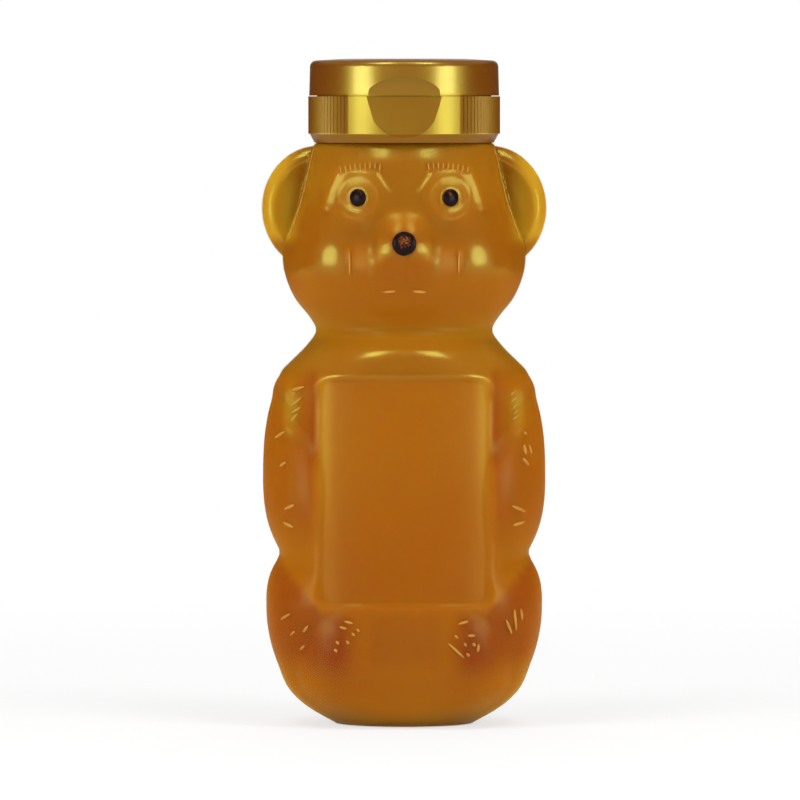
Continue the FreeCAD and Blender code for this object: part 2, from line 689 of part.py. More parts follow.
def hinge_spring(side):
    bottom = HINGE_HEIGHT - SPRING_LENGTH / 2
    corner = at(side * SPRING_X - SPRING_WIDTH / 2, HINGE_FACE_Y - SPRING_THICKNESS, bottom)
    return Part.makeBox(SPRING_WIDTH, SPRING_THICKNESS, SPRING_LENGTH, corner)


# ---- write the pieces ----------------------------------------------------------------------------

os.makedirs("parts", exist_ok=True)
outside = bear_form(0, CROWN_HEIGHT)
pieces = {
    "bottle_shell": bottle_shell(outside),
    "honey_fill": honey_fill(),
    "eye_left": bead(-EYE_X, EYE_HEIGHT, EYE_DIAMETER, outside),
    "eye_right": bead(EYE_X, EYE_HEIGHT, EYE_DIAMETER, outside),
    "nose": bead(0, NOSE_HEIGHT, NOSE_DIAMETER, outside),
    "sealing_ring": sealing_ring(),
    "closure_base": closure_base(),
    "flip_lid": flip_lid(),
    "hinge_film": hinge_film(),
    "hinge_spring_left": hinge_spring(-1),
    "hinge_spring_right": hinge_spring(1),
}
for name, piece in pieces.items():
    piece.exportStep(f"parts/{name}.step")
    bounds = piece.BoundBox
    print(
        f"{name}: {piece.Volume:.1f} mm3, {len(piece.Solids)} solid, valid {piece.isValid()}, "
        f"z {bounds.ZMin:.2f} to {bounds.ZMax:.2f}"
    )
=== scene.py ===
import math

import bmesh
import bpy
import numpy as np
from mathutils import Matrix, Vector


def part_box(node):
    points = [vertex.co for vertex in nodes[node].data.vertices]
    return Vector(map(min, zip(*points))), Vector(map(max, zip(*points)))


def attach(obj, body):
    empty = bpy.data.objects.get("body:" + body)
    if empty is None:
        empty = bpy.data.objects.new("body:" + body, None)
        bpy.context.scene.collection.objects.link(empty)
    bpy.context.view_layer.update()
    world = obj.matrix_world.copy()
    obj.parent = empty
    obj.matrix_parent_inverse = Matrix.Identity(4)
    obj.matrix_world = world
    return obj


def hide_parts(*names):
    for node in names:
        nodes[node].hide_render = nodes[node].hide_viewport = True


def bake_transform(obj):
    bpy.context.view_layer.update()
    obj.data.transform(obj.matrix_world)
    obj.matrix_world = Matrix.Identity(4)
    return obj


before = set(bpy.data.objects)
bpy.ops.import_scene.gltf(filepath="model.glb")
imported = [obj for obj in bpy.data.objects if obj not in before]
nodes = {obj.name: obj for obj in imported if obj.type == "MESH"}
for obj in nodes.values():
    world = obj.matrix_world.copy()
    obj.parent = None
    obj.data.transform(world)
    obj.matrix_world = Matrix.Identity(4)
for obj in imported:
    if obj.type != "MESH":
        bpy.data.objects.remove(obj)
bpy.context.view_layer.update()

scene = bpy.context.scene
mm = 0.001


# Small tools for colours, nodes and meshes.
def tint(red, green, blue):  # a display colour, 0 to 255, as the renderer wants it
    channels = []
    for value in (red, green, blue):
        share = value / 255
        channels.append(share / 12.92 if share <= 0.04045 else ((share + 0.055) / 1.055) ** 2.4)
    return (*channels, 1.0)


class Wire:  # one node socket, which does sums
    def __init__(self, graph, socket):
        self.graph = graph
        self.socket = socket

    def __getitem__(self, name):
        return Wire(self.graph, self.socket.node.outputs[name])

    def sum(self, operation, first, second, clamp=False):
        settings = dict(operation=operation, use_clamp=clamp)
        return self.graph.node("ShaderNodeMath", settings, {0: first, 1: second})

    def __add__(self, other):
        return self.sum("ADD", self, other)

    def __radd__(self, other):
        return self.sum("ADD", other, self)

    def __sub__(self, other):
        return self.sum("SUBTRACT", self, other)

    def __rsub__(self, other):
        return self.sum("SUBTRACT", other, self)

    def __mul__(self, other):
        return self.sum("MULTIPLY", self, other)

    def __rmul__(self, other):
        return self.sum("MULTIPLY", other, self)

    def absolute(self):
        return self.graph.node("ShaderNodeMath", dict(operation="ABSOLUTE"), {0: self})

    def clamped(self):
        return self.sum("ADD", self, 0.0, clamp=True)


class Graph:  # a node tree, for a finish or for geometry
    def __init__(self, tree):
        self.tree = tree
        self.tree.nodes.clear()

    def node(self, kind, settings=None, inputs=None):
        made = self.tree.nodes.new(kind)
        for name, value in (settings or {}).items():
            if name == "stops":
                band = made.color_ramp.elements
                while len(band) < len(value):
                    band.new(1.0)
                for stop, (place, colour) in zip(band, value):
                    stop.position = place
                    stop.color = colour
            else:
                setattr(made, name, value)
        for name, value in (inputs or {}).items():
            socket = made.inputs[name]
            if isinstance(value, Wire):
                self.tree.links.new(value.socket, socket)
            else:
                socket.default_value = value
        return Wire(self, made.outputs[0]) if made.outputs else made

    def noise(self, place, scale, detail=2.0, roughness=0.5):
        sizes = {"Vector": place, "Scale": scale, "Detail": detail, "Roughness": roughness}
        return self.node("ShaderNodeTexNoise", None, sizes)

    def colours(self, factor, first, second):
        settings = dict(data_type="RGBA")
        made = self.node("ShaderNodeMix", settings, {0: factor, 6: first, 7: second})
        return Wire(self, made.socket.node.outputs[2])

    def between(self, factor, pair):  # from one display colour to another
        return self.colours(factor, tint(*pair[0]), tint(*pair[1]))

    def attribute(self, label):  # a number that the mesh holds at each point
        return self.node("ShaderNodeAttribute", dict(attribute_name=label))["Fac"]


class Finish(Graph):  # a material
    def __init__(self, name):
        self.material = bpy.data.materials.new(name)
        self.material.use_nodes = True
        super().__init__(self.material.node_tree)
        self.place = self.node("ShaderNodeTexCoord")["Object"]

    def show(self, surface):
        self.node("ShaderNodeOutputMaterial", None, {"Surface": surface})
        return self.material


def meshObject(name, points, faces, material=None):
    data = bpy.data.meshes.new(name)
    data.from_pydata([tuple(point) for point in points], [], [tuple(face) for face in faces])
    data.update()
    made = bpy.data.objects.new(name, data)
    scene.collection.objects.link(made)
    if material:
        data.materials.append(material)
    return made


def smoothed(thing):
    thing.data.shade_smooth()
    return thing


def paint(name, material):  # a CAD node takes a finish
    slots = nodes[name].data.materials
    slots.clear()
    slots.append(material)


def settled(thing):  # what the modifiers make becomes the mesh
    graph = bpy.context.evaluated_depsgraph_get()
    whole = bpy.data.meshes.new_from_object(thing.evaluated_get(graph))
    first = thing.data
    thing.modifiers.clear()
    thing.data = whole
    bpy.data.meshes.remove(first)
    whole.name = thing.name
    return thing


# The studio. The camera's lengths are in mm, those of lamps and cards in metres, angles in degrees.
studio = dict(
    framedWidth=173.7,      # what the camera takes in at the object
    distance=1900.0,
    aimSide=-0.9,
    aimHeight=70.2,
    elevation=2.0,
    sensor=36.0,
    nearest=0.01,
    roomLight=0.23,
    boxAzimuth=52.0,        # the two softboxes stand this far round from the camera
    boxRise=4.0,
    boxDistance=0.62,
    boxWidth=0.28,
    boxHeight=0.34,
    boxPower=1.5,
    fillAzimuth=45.0,       # wide fills, which reflections don't see
    fillRise=25.0,
    fillDistance=0.9,
    fillSize=0.8,
    fillPower=1.12,
    backPower=3.0,
    stripAzimuth=37.0,      # two strip lamps overhead
    stripRise=62.0,
    stripDistance=0.7,
    stripWidth=0.17,
    stripLength=0.26,
    stripPower=1.1,
    topRise=89.9,           # a large lamp straight above
    topHeight=1.25,
    topSize=1.3,
    topPower=3.2,
    cardDistance=0.55,      # dark cards either side, which only reflections see
    cardFoot=0.002,
    cardHeight=0.4,
    cardFrom=78.0,
    cardTo=163.0,
    cardPosts=16,
    cardFelt=((46, 40, 34), (58, 50, 42)),
    feltScale=90.0,
    backdropAway=2.0,
    backdropSize=(0.48, 0.4),
    floorRadius=6.0,
    floorSides=64,
    paper=((243, 243, 242), (250, 250, 249)),
    fibreScale=180.0,
    paperGlow=0.7,          # plain white's share beside the object, where its shadow falls
    whiteFrom=0.12,         # past this the paper fades to white
    whiteRate=3.0,
)

eyeData = bpy.data.cameras.new("camera")
camera = bpy.data.objects.new("camera", eyeData)
scene.collection.objects.link(camera)
eyeData.sensor_width = studio["sensor"]
eyeData.lens = studio["sensor"] * studio["distance"] / studio["framedWidth"]
eyeData.clip_start = studio["nearest"]
rise = math.radians(studio["elevation"])
aim = Vector((studio["aimSide"] * mm, 0, studio["aimHeight"] * mm))
camera.location = aim + Vector((0, -math.cos(rise), math.sin(rise))) * studio["distance"] * mm
camera.rotation_euler = (aim - camera.location).to_track_quat("-Z", "Y").to_euler()
scene.camera = camera

scene.view_settings.view_transform = "Standard"
world = bpy.data.worlds.new("studio")
scene.world = world
world.use_nodes = True
room = Graph(world.node_tree)
level = studio["roomLight"]
roomColour = (level, level, level, 1)
roomGlow = room.node("ShaderNodeBackground", None, {"Color": roomColour, "Strength": 1.0})
room.node("ShaderNodeOutputWorld", None, {"Surface": roomGlow})


def lamp(name, azimuth, elevation, distance, size, power, mirrored=True, shape="RECTANGLE"):
    data = bpy.data.lights.new(name, "AREA")
    data.shape = shape
    data.size, data.size_y = size
    data.energy = power
    made = bpy.data.objects.new(name, data)
    scene.collection.objects.link(made)
    turn, lift = math.radians(azimuth), math.radians(elevation)
    ahead = math.cos(lift)
    away = Vector((math.sin(turn) * ahead, -math.cos(turn) * ahead, math.sin(lift)))
    target = Vector((0, 0, studio["aimHeight"] * mm))
    made.location = target + away * distance
    made.rotation_euler = (-away).to_track_quat("-Z", "Y").to_euler()
    made.visible_glossy = mirrored
    return made


boxSize = (studio["boxWidth"], studio["boxHeight"])
for side, name in ((-1, "softbox_left"), (1, "softbox_right")):
    lamp(name, side * studio["boxAzimuth"], studio["boxRise"], studio["boxDistance"],
         boxSize, studio["boxPower"], shape="ELLIPSE")
fillSize = (studio["fillSize"], studio["fillSize"])
for name, azimuth, power in (("fill_left", -studio["fillAzimuth"], studio["fillPower"]),
                             ("fill_right", studio["fillAzimuth"], studio["fillPower"]),
                             ("fill_back", 180, studio["backPower"])):
    lamp(name, azimuth, studio["fillRise"], studio["fillDistance"], fillSize, power, mirrored=False)
stripSize = (studio["stripWidth"], studio["stripLength"])
for side, name in ((-1, "strip_left"), (1, "strip_right")):
    lamp(name, side * studio["stripAzimuth"], studio["stripRise"], studio["stripDistance"],
         stripSize, studio["stripPower"])
topSize = (studio["topSize"], studio["topSize"])
lamp("top_fill", 0, studio["topRise"], studio["topHeight"], topSize, studio["topPower"],
     mirrored=False)

floorFinish = Finish("paper_floor")
ray = floorFinish.node("ShaderNodeLightPath")
watched = (ray["Is Camera Ray"] + ray["Is Glossy Ray"] + ray["Is Transmission Ray"]).clamped()
fibres = floorFinish.noise(floorFinish.place, studio["fibreScale"], 4.0)
paper = floorFinish.between(fibres, studio["paper"])
litPaper = floorFinish.node("ShaderNodeBsdfDiffuse", None, {"Color": paper})
whitePaper = floorFinish.node("ShaderNodeEmission", None, {"Color": (1, 1, 1, 1), "Strength": 1.0})
apart = floorFinish.node("ShaderNodeVectorMath", dict(operation="LENGTH"),
                         {0: floorFinish.place})["Value"]
faded = ((apart - studio["whiteFrom"]) * studio["whiteRate"]).clamped()
whiteShare = watched * (studio["paperGlow"] + faded * (1 - studio["paperGlow"]))
floorFinish.show(floorFinish.node("ShaderNodeMixShader", None,
                                  {0: whiteShare, 1: litPaper, 2: whitePaper}))

radius, sides = studio["floorRadius"], studio["floorSides"]
turns = [2 * math.pi * k / sides for k in range(sides)]
rim = [(radius * math.cos(turn), radius * math.sin(turn), 0) for turn in turns]
floor = meshObject("floor", rim, [range(sides)], floorFinish.material)
half, tall = studio["backdropSize"][0] / 2, studio["backdropSize"][1]
away = studio["backdropAway"]
sheet = [(-half, away, 0), (half, away, 0), (half, away, tall), (-half, away, tall)]
backdrop = meshObject("backdrop", sheet, [(0, 1, 2, 3)], floorFinish.material)

cardFinish = Finish("dark_card")
felt = cardFinish.noise(cardFinish.place, studio["feltScale"], 3.0)
cloth = cardFinish.between(felt, studio["cardFelt"])
cardFinish.show(cardFinish.node("ShaderNodeBsdfDiffuse", None, {"Color": cloth}))
for side, name in ((-1, "card_left"), (1, "card_right")):
    posts, reach = studio["cardPosts"], studio["cardDistance"]
    bends = np.radians(np.linspace(studio["cardFrom"], studio["cardTo"], posts)) * side
    low = [(reach * math.sin(turn), -reach * math.cos(turn), studio["cardFoot"]) for turn in bends]
    high = [(x, y, studio["cardHeight"]) for x, y, z in low]
    panes = [(k, k + 1, k + posts + 1, k + posts) for k in range(posts - 1)]
    card = meshObject(name, low + high, panes, cardFinish.material)
    card.visible_camera = card.visible_diffuse = False
    card.visible_transmission = card.visible_shadow = False
print("studio set")


# The bear's form in mm: half widths and half depths at a row of heights.
form = dict(
    heights=[0, 1.3, 3.9, 7.8, 13, 19, 24, 38.4, 56, 70, 74, 76.7, 79, 82, 85.2, 87.8, 92.3, 97.5,
             102.9, 108.4, 113.8, 119.2, 121.8, 124.4, 126.0, 126.5],
    halfWidths=[15.0, 17.4, 21.6, 25.3, 26.0, 26.8, 27.2, 27.2, 27.0, 26.8, 27.6, 26.6, 24.4, 21.4,
                19.3, 20.4, 23.8, 25.6, 25.6, 24.2, 22.6, 21.3, 20.75, 20.1, 19.45, 18.75],
    halfDepths=[14.8, 16.4, 19.6, 22.0, 23.0, 23.8, 25.0, 25.4, 25.4, 25.4, 25.3, 25.0, 24.7, 23.2,
                18.0, 18.4, 20.4, 21.5, 21.7, 21.3, 20.9, 20.5, 20.0, 18.8, 17.9, 17.3],
    seat=19.0, shoulder=74.0, neck=85.2, brow=113.8, crown=126.5,
    trunkSquare=2.6, headSquare=2.1, blend=0.8,
    slopeStep=0.1, steepest=2.5,    # how steep a wall still widens its level inset
    pushUp=2.2, pushUpRadius=12.5,
    wall=0.12,      # thin, because honey behind a clear wall reaches its outer edge
    neckRadius=17.5, bore=15.6, lip=136.2,
    threadPitch=25.4 / 6, threadStart=128.3, threadTurns=1.25, threadDepth=1.2,
    threadRoot=2.1, threadCrest=1.1, threadFade=0.04,
    fill=126.25, neckFill=128.0,
)

# each lobe: bearing it stands at, height, how far it stands out, half spans, lean, bluntness
arm = dict(toward=82.0, z=55.4, lift=3.8, across=43.0, up=19.6, down=18.0, turn=0.8, blunt=3.0)
haunch = dict(toward=80.0, z=26.2, lift=2.9, across=44.0, up=10.2, down=17.8, turn=0.0, blunt=2.7)
leg = dict(toward=34.0, z=13.0, lift=2.2, across=26.0, up=11.0, down=10.5, turn=0.0, blunt=2.8)
lap = dict(toward=0.0, z=12.0, lift=1.0, across=60.0, up=11.5, down=11.0, turn=0.0, blunt=4.0)
cheek = dict(toward=47.0, z=101.5, lift=1.6, across=24.0, up=10.0, down=9.5, turn=0.0, blunt=2.0)
muzzle = dict(toward=0.0, z=99.2, lift=1.5, across=30.0, up=9.0, down=10.0, turn=0.0, blunt=3.0,
              soft=1.6)
snout = dict(toward=0.0, z=104.0, lift=3.6, across=17.5, up=6.8, down=8.0, turn=0.0, blunt=2.2,
             soft=2.2)
earRoot = dict(toward=90.0, z=104.0, lift=0.9, across=22.0, up=7.0, down=9.0, turn=0.0, blunt=1.3)
lobes = [arm, haunch, leg, lap, cheek, muzzle, snout, earRoot]

panel = dict(halfWidth=18.5, bottom=27.0, top=75.6, depth=0.7, corner=2.5, curve=46.0, edge=1.8)


def throughPoints(z, values):  # a smooth curve through the form's points
    heights = np.array(form["heights"], float)
    values = np.array(values, float)
    slopes = np.empty_like(values)
    slopes[1:-1] = (values[2:] - values[:-2]) / (heights[2:] - heights[:-2])
    slopes[0] = (values[1] - values[0]) / (heights[1] - heights[0])
    slopes[-1] = (values[-1] - values[-2]) / (heights[-1] - heights[-2])
    k = np.clip(np.searchsorted(heights, z, side="left") - 1, 0, len(heights) - 2)
    span = heights[k + 1] - heights[k]
    t = (z - heights[k]) / span
    return ((2 * t**3 - 3 * t**2 + 1) * values[k] + (t**3 - 2 * t**2 + t) * slopes[k] * span
            + (3 * t**2 - 2 * t**3) * values[k + 1] + (t**3 - t**2) * slopes[k + 1] * span)


def levelInset(z, values, inset):  # an inset square to the wall, measured level
    step = form["slopeStep"]
    low, high = np.maximum(z - step, 0), np.minimum(z + step, form["crown"])
    slope = (throughPoints(high, values) - throughPoints(low, values)) / (high - low)
    return inset * np.minimum(np.hypot(1, slope), form["steepest"])


def squareness(z):
    trunk, head = form["trunkSquare"], form["headSquare"]
    foot = 2 + (trunk - 2) * np.minimum(2 * z / form["seat"], 1)
    share = np.maximum(0, (z - form["shoulder"]) / (form["neck"] - form["shoulder"]))
    upper = trunk + (head - trunk) * share
    share = np.maximum(0, (z - form["brow"]) / (form["crown"] - form["brow"]))
    top = head + (2 - head) * share
    return np.where(z < form["seat"], foot, np.where(z < form["neck"], upper, top))


def lobeRelief(bearing, z):
    total = np.zeros(np.broadcast(bearing, z).shape)
    for lobe in lobes:
        lift = z - lobe["z"]
        upright = lift / np.where(lift > 0, lobe["up"], lobe["down"])
        sideways = (np.abs(bearing) - lobe["toward"] - lobe["turn"] * lift) / lobe["across"]
        one = lobe["lift"] * (1 - np.hypot(upright, sideways) ** lobe["blunt"])
        soft = lobe.get("soft", form["blend"])
        near = np.maximum(soft - np.abs(total - one), 0) / soft
        total = np.maximum(total, one) + near**2 * soft / 4
    return total


def bodyReach(bearing, z, inset=0.0):  # mm from the axis; bearing in degrees from straight ahead
    sideways = np.abs(np.sin(np.radians(bearing)))
    ahead = np.abs(np.cos(np.radians(bearing)))
    power = squareness(z)
    width = throughPoints(z, form["halfWidths"]) - levelInset(z, form["halfWidths"], inset)
    depth = throughPoints(z, form["halfDepths"]) - levelInset(z, form["halfDepths"], inset)
    core = ((sideways / width) ** power + (ahead / depth) ** power) ** (-1 / power)
    return core + lobeRelief(bearing, z)


def smoothStep(low, high, value):
    t = np.clip((value - low) / (high - low), 0, 1)
    return t * t * (3 - 2 * t)


def panelled(reach, bearing, z, inset=0.0):  # the label recess, front and back
    x = reach * np.sin(np.radians(bearing))
    middle = (panel["bottom"] + panel["top"]) / 2
    across = np.abs(x) - (panel["halfWidth"] + inset - panel["corner"])
    along = np.abs(z - middle) - ((panel["top"] - panel["bottom"]) / 2 + inset - panel["corner"])
    outside = np.hypot(np.maximum(across, 0), np.maximum(along, 0))
    distance = outside + np.minimum(np.maximum(across, along), 0) - panel["corner"]
    mask = smoothStep(panel["edge"] / 2, -panel["edge"] / 2, distance)
    curve = panel["curve"] - inset
    back = panel["curve"] - max(form["halfDepths"]) + panel["depth"]
    turned = np.radians(bearing)
    hit = -np.abs(np.cos(turned)) * back + np.sqrt(curve**2 - (back * np.sin(turned)) ** 2)
    return reach + (np.minimum(reach, hit) - reach) * mask


def spread(count, low, high, dense):  # evenly spaced places, closer together round the dense ones
    fine = np.linspace(low, high, shellMesh["samples"])
    weight = np.ones_like(fine)
    for centre, reach, gain in dense:
        weight += gain * smoothStep(reach * shellMesh["fade"], reach, np.abs(fine - centre))
    share = np.concatenate([[0], np.cumsum((weight[1:] + weight[:-1]) / 2)])
    return np.interp(np.linspace(0, share[-1], count), share, fine)


# marks in the mould, on one side, mirrored to the other: a path of (x, z), half width, lift
carving = [
    dict(path=[(14.2, 119.5), (15.8, 116.2), (17.0, 112.6)], width=1.1, lift=0.55),  # brow
    dict(path=[(5.3, 119.7), (8.2, 120.5), (11.6, 120.6), (14.3, 119.5)], width=0.6, lift=0.06),
    dict(path=[(5.2, 119.6), (4.2, 118.0), (3.1, 116.3)], width=0.38, lift=0.3),
    dict(path=[(11.7, 102.9), (12.0, 101.2), (11.9, 98.0)], width=0.3, lift=0.22),  # cheek fold
    dict(path=[(0.9, 101.0), (0.8, 98.0), (1.0, 95.4)], width=0.35, lift=0.08),  # lip
    dict(path=[(24.4, 73.0), (25.3, 69.0), (25.2, 65.0)], width=1.5, lift=0.75),  # shoulder tuft
    dict(path=[(26.6, 61.0), (26.9, 57.5)], width=0.9, lift=0.35),  # forearm
    dict(path=[(25.0, 48.2), (25.2, 45.8)], width=0.9, lift=0.35),
]
eyeSockets = dict(x=9.9, z=114.5, radius=4.4, width=0.34, lift=0.06)
eyeRims = dict(x=10.0, z=114.3, radius=2.3, width=0.22, lift=0.09)


def nearPath(x, z, path):
    best = np.full(x.shape, 1e9)
    for (ax, az), (bx, bz) in zip(path, path[1:]):
        dx, dz = bx - ax, bz - az
        t = np.clip(((x - ax) * dx + (z - az) * dz) / (dx * dx + dz * dz), 0, 1)
        best = np.minimum(best, np.hypot(x - ax - t * dx, z - az - t * dz))
    return best


def carved(x, z):  # how far the mould marks stand out at the front
    side = np.abs(x)
    lift = np.zeros(x.shape)
    for mark in carving:
        lift += mark["lift"] * np.exp(-((nearPath(side, z, mark["path"]) / mark["width"]) ** 2))
    for ring in (eyeSockets, eyeRims):
        away = np.abs(np.hypot(side - ring["x"], z - ring["z"]) - ring["radius"])
        lift += ring["lift"] * np.exp(-((away / ring["width"]) ** 2))
    return lift


shellMesh = dict(
    columns=320,
    rows=236,
    innerRows=150,
    baseRows=10,
    innerBaseRows=6,
    neckRows=34,
    middle=0.04,            # the smallest ring in the foot, as a share of the largest
    samples=6001,
    fade=1.4,               # a dense place fades out at this many times its reach
    frontDense=(0, 68, 2.6),
    backDense=((-137, 5, 2.0), (137, 5, 2.0)),
    rowDense=((27, 1.5, 3.0), (75.6, 1.5, 3.0), (106, 16, 2.2), (62, 8, 0.9), (22, 5, 0.7)),
    marksFrom=20,           # the mould's marks start at this height and end at this bearing
    marksTo=80,
)


def ringPoints(bearings, reaches, z):
    turned = np.radians(bearings)
    return np.stack([reaches * np.sin(turned), -reaches * np.cos(turned),
                     np.broadcast_to(z, turned.shape)], axis=-1)


def stitched(rings):  # quads between rings of the same count, and a cap at each end
    points = np.concatenate(rings)
    count = len(rings[0])
    faces = []
    for k in range(len(rings) - 1):
        low, high = k * count, (k + 1) * count
        for i in range(count):
            j = (i + 1) % count
            faces.append((low + i, low + j, high + j, high + i))
    last = (len(rings) - 1) * count
    faces += [tuple(reversed(range(count))), tuple(range(last, last + count))]
    return points, faces


def outerColumns(count):
    dense = [shellMesh["frontDense"], *shellMesh["backDense"]]
    return spread(count + 1, -180, 180, dense)[:-1]


def threadLift(bearings, z):  # how far the thread stands out of the neck
    turned = np.radians(bearings)
    share = (np.arctan2(-np.cos(turned), np.sin(turned)) / (2 * math.pi)) % 1
    lift = np.zeros_like(share)
    flank = (form["threadRoot"] - form["threadCrest"]) / 2
    turns, fade = form["threadTurns"], form["threadFade"]
    for wrap in (0, 1):
        along = share + wrap
        middle = form["threadStart"] + form["threadPitch"] * along
        ends = smoothStep(0, fade, along) * smoothStep(turns, turns - fade, along)
        ridge = np.clip((form["threadRoot"] / 2 - np.abs(z - middle)) / flank, 0, 1) * ends
        lift = np.maximum(lift, ridge * form["threadDepth"])
    return lift


def basePart(bearings, inset, count):  # rings from the push-up's middle out to the foot ring
    foot = form["heights"][0] + inset
    rim = bodyReach(bearings, np.full(bearings.shape, foot), inset)
    rings = []
    for share in np.linspace(shellMesh["middle"], 1, count, endpoint=False):
        reach = rim * share
        dome = 1 - np.clip(reach / (form["pushUpRadius"] + inset), 0, 1) ** 2
        rings.append(ringPoints(bearings, reach, foot + form["pushUp"] * dome))
    return rings


def wallRing(bearings, z, inset):
    heights = np.full(bearings.shape, float(z))
    reach = panelled(bodyReach(bearings, heights, inset), bearings, heights, inset)
    if z > shellMesh["marksFrom"]:
        front = np.abs(bearings) < shellMesh["marksTo"]
        x = reach * np.sin(np.radians(bearings))
        reach = reach + np.where(front, carved(x, heights), 0)
    return ringPoints(bearings, reach, z)


def joined(name, parts):
    points, faces = [], []
    for partPoints, partFaces in parts:
        start = len(points)
        points += list(partPoints)
        faces += [tuple(start + i for i in face) for face in partFaces]
    return meshObject(name, np.array(points) * mm, faces)


ear = dict(reach=31.0, halfWidth=12.4, halfDepth=4.3, halfHeight=13.6, z=111.9, back=1.0,
           dish=0.6, rim=1.3, soft=0.6, rings=26, around=84, innermost=0.03)


def earParts(side, inset):
    wide, deep = ear["halfWidth"] - inset, ear["halfDepth"] - inset
    tall, middle = ear["halfHeight"] - inset, ear["reach"] - ear["halfWidth"]
    shares = np.sin(np.linspace(ear["innermost"], 1, ear["rings"]) * math.pi / 2)
    angles = np.arange(ear["around"]) * 2 * math.pi / ear["around"]
    front, back = [], []
    bowl = (ear["halfWidth"] - ear["rim"] + inset, ear["halfDepth"] - ear["dish"] + inset,
            ear["halfHeight"] - ear["rim"] + inset)
    for share in shares:
        u, v = wide * share * np.cos(angles), tall * share * np.sin(angles)
        bulge = deep * math.sqrt(max(1 - share**2, 0))
        inside = np.clip(1 - (u / bowl[0]) ** 2 - (v / bowl[2]) ** 2, 0, 1)
        floor = -ear["halfDepth"] + bowl[1] * np.sqrt(inside)
        near = np.maximum(ear["soft"] - np.abs(floor + bulge), 0) / ear["soft"]
        face = np.where(inside > 0, np.maximum(-bulge, floor) + near**2 * ear["soft"] / 4, -bulge)
        if share == shares[-1]:
            face = np.zeros_like(u)
        for rows, y in ((front, face), (back, np.full_like(u, bulge))):
            rows.append(np.stack([side * (middle + u), ear["back"] + y, ear["z"] + v], axis=-1))
    rings = front + back[::-1][1:]
    points, faces = stitched(rings)
    if side > 0:
        faces = [tuple(reversed(face)) for face in faces]
    return points, faces


def withEars(body, inset):  # ears grow out of the head in one skin
    for side in (-1, 1):
        lobe = joined("ear", [earParts(side, inset)])
        tool = body.modifiers.new("ear", "BOOLEAN")
        tool.operation = "UNION"
        tool.solver = "EXACT"
        tool.object = lobe
        settled(body)
        bpy.data.objects.remove(lobe)
    return body


def outwards(thing):
    mesh = bmesh.new()
    mesh.from_mesh(thing.data)
    bmesh.ops.remove_doubles(mesh, verts=mesh.verts, dist=1e-7)
    bmesh.ops.recalc_face_normals(mesh, faces=mesh.faces)
    mesh.to_mesh(thing.data)
    mesh.free()
    return thing


# The bottle: one closed skin, down the outside and up the inside. Steps are mm from crown or lip.
neckStep = dict(foot=0.15, thread=0.35, lip=0.3, bore=4.0, boreFoot=0.2, wallTop=0.3)


def bottleOuter(columns):
    crown, lip, radius = form["crown"], form["lip"], form["neckRadius"]
    rings = basePart(columns, 0.0, shellMesh["baseRows"])
    for z in spread(shellMesh["rows"], 0, crown, shellMesh["rowDense"]):
        rings.append(wallRing(columns, z, 0.0))
    rings.append(ringPoints(columns, np.full(columns.shape, radius), crown + neckStep["foot"]))
    for z in np.linspace(crown + neckStep["thread"], lip - neckStep["lip"], shellMesh["neckRows"]):
        rings.append(ringPoints(columns, radius + threadLift(columns, z), z))
    rings.append(ringPoints(columns, np.full(columns.shape, radius - neckStep["lip"]), lip))
    return rings


def bottleInner(columns):
    crown, lip, wall = form["crown"], form["lip"], form["wall"]
    bore = np.full(columns.shape, form["bore"])
    heights = (lip, lip - neckStep["bore"], crown - neckStep["boreFoot"])
    rings = [ringPoints(columns, bore, z) for z in heights]
    rows = spread(shellMesh["innerRows"], wall, crown - neckStep["wallTop"], shellMesh["rowDense"])
    rings += [wallRing(columns, z, wall) for z in rows[::-1]]
    return rings + basePart(columns, wall, shellMesh["innerBaseRows"])[::-1]


def bottleShell():
    columns = outerColumns(shellMesh["columns"])
    outer = bottleOuter(columns)
    points, faces = stitched(outer + bottleInner(columns))
    made = meshObject("bottleShell", points * mm, faces, plastic.material)
    made.data.materials.append(wetWall.material)
    firstInner = len(outer) * len(columns)
    for face in made.data.polygons:
        face.material_index = int(min(face.vertices) >= firstInner)
    return made


plasticLook = dict(
    mirrored=(0.66, 0.82, 0.15, 1),     # what the wall mirrors takes on the honey's colour
    headOn=0.066, grazing=0.25,         # how much of it, seen square and seen edge on
    rough=0.17, flowRough=0.06, mattRough=0.12, furredRough=0.1,
    rippleScale=260.0, flowScale=55.0, strandScale=900.0, stippleScale=1500.0,
    ripple=0.4, strand=3.0, stipple=0.5, bump=0.12, bumpDepth=0.0004, ior=1.45,
    combLean=0.5, combStretch=0.3,
)
plastic = Finish("clear_bottle_plastic")
ripple = plastic.noise(plastic.place, plasticLook["rippleScale"], 2.0)
flow = plastic.noise(plastic.place, plasticLook["flowScale"], 1.0)
etchedShare, furredShare = plastic.attribute("matt"), plastic.attribute("furred")
dulledShare = plastic.attribute("dulled")
combed = plastic.node("ShaderNodeMapping", None, {
    "Vector": plastic.place, "Rotation": (0, plasticLook["combLean"], 0),
    "Scale": (1.0, 1.0, plasticLook["combStretch"])})
strands = plastic.noise(combed, plasticLook["strandScale"], 2.0) * furredShare
stipple = plastic.noise(plastic.place, plasticLook["stippleScale"], 2.0) * etchedShare
skinBump = plastic.node("ShaderNodeBump", None, {
    "Height": (ripple * plasticLook["ripple"] + flow + strands * plasticLook["strand"]
               + stipple * plasticLook["stipple"]),
    "Strength": plasticLook["bump"], "Distance": plasticLook["bumpDepth"]})
skinRough = (plasticLook["rough"] + flow * plasticLook["flowRough"]
             + etchedShare * plasticLook["mattRough"] + furredShare * plasticLook["furredRough"])
gloss = plastic.node("ShaderNodeBsdfGlossy", None, {
    "Color": plasticLook["mirrored"], "Normal": skinBump, "Roughness": skinRough})
clear = plastic.node("ShaderNodeBsdfTransparent", None, {"Color": (1, 1, 1, 1)})
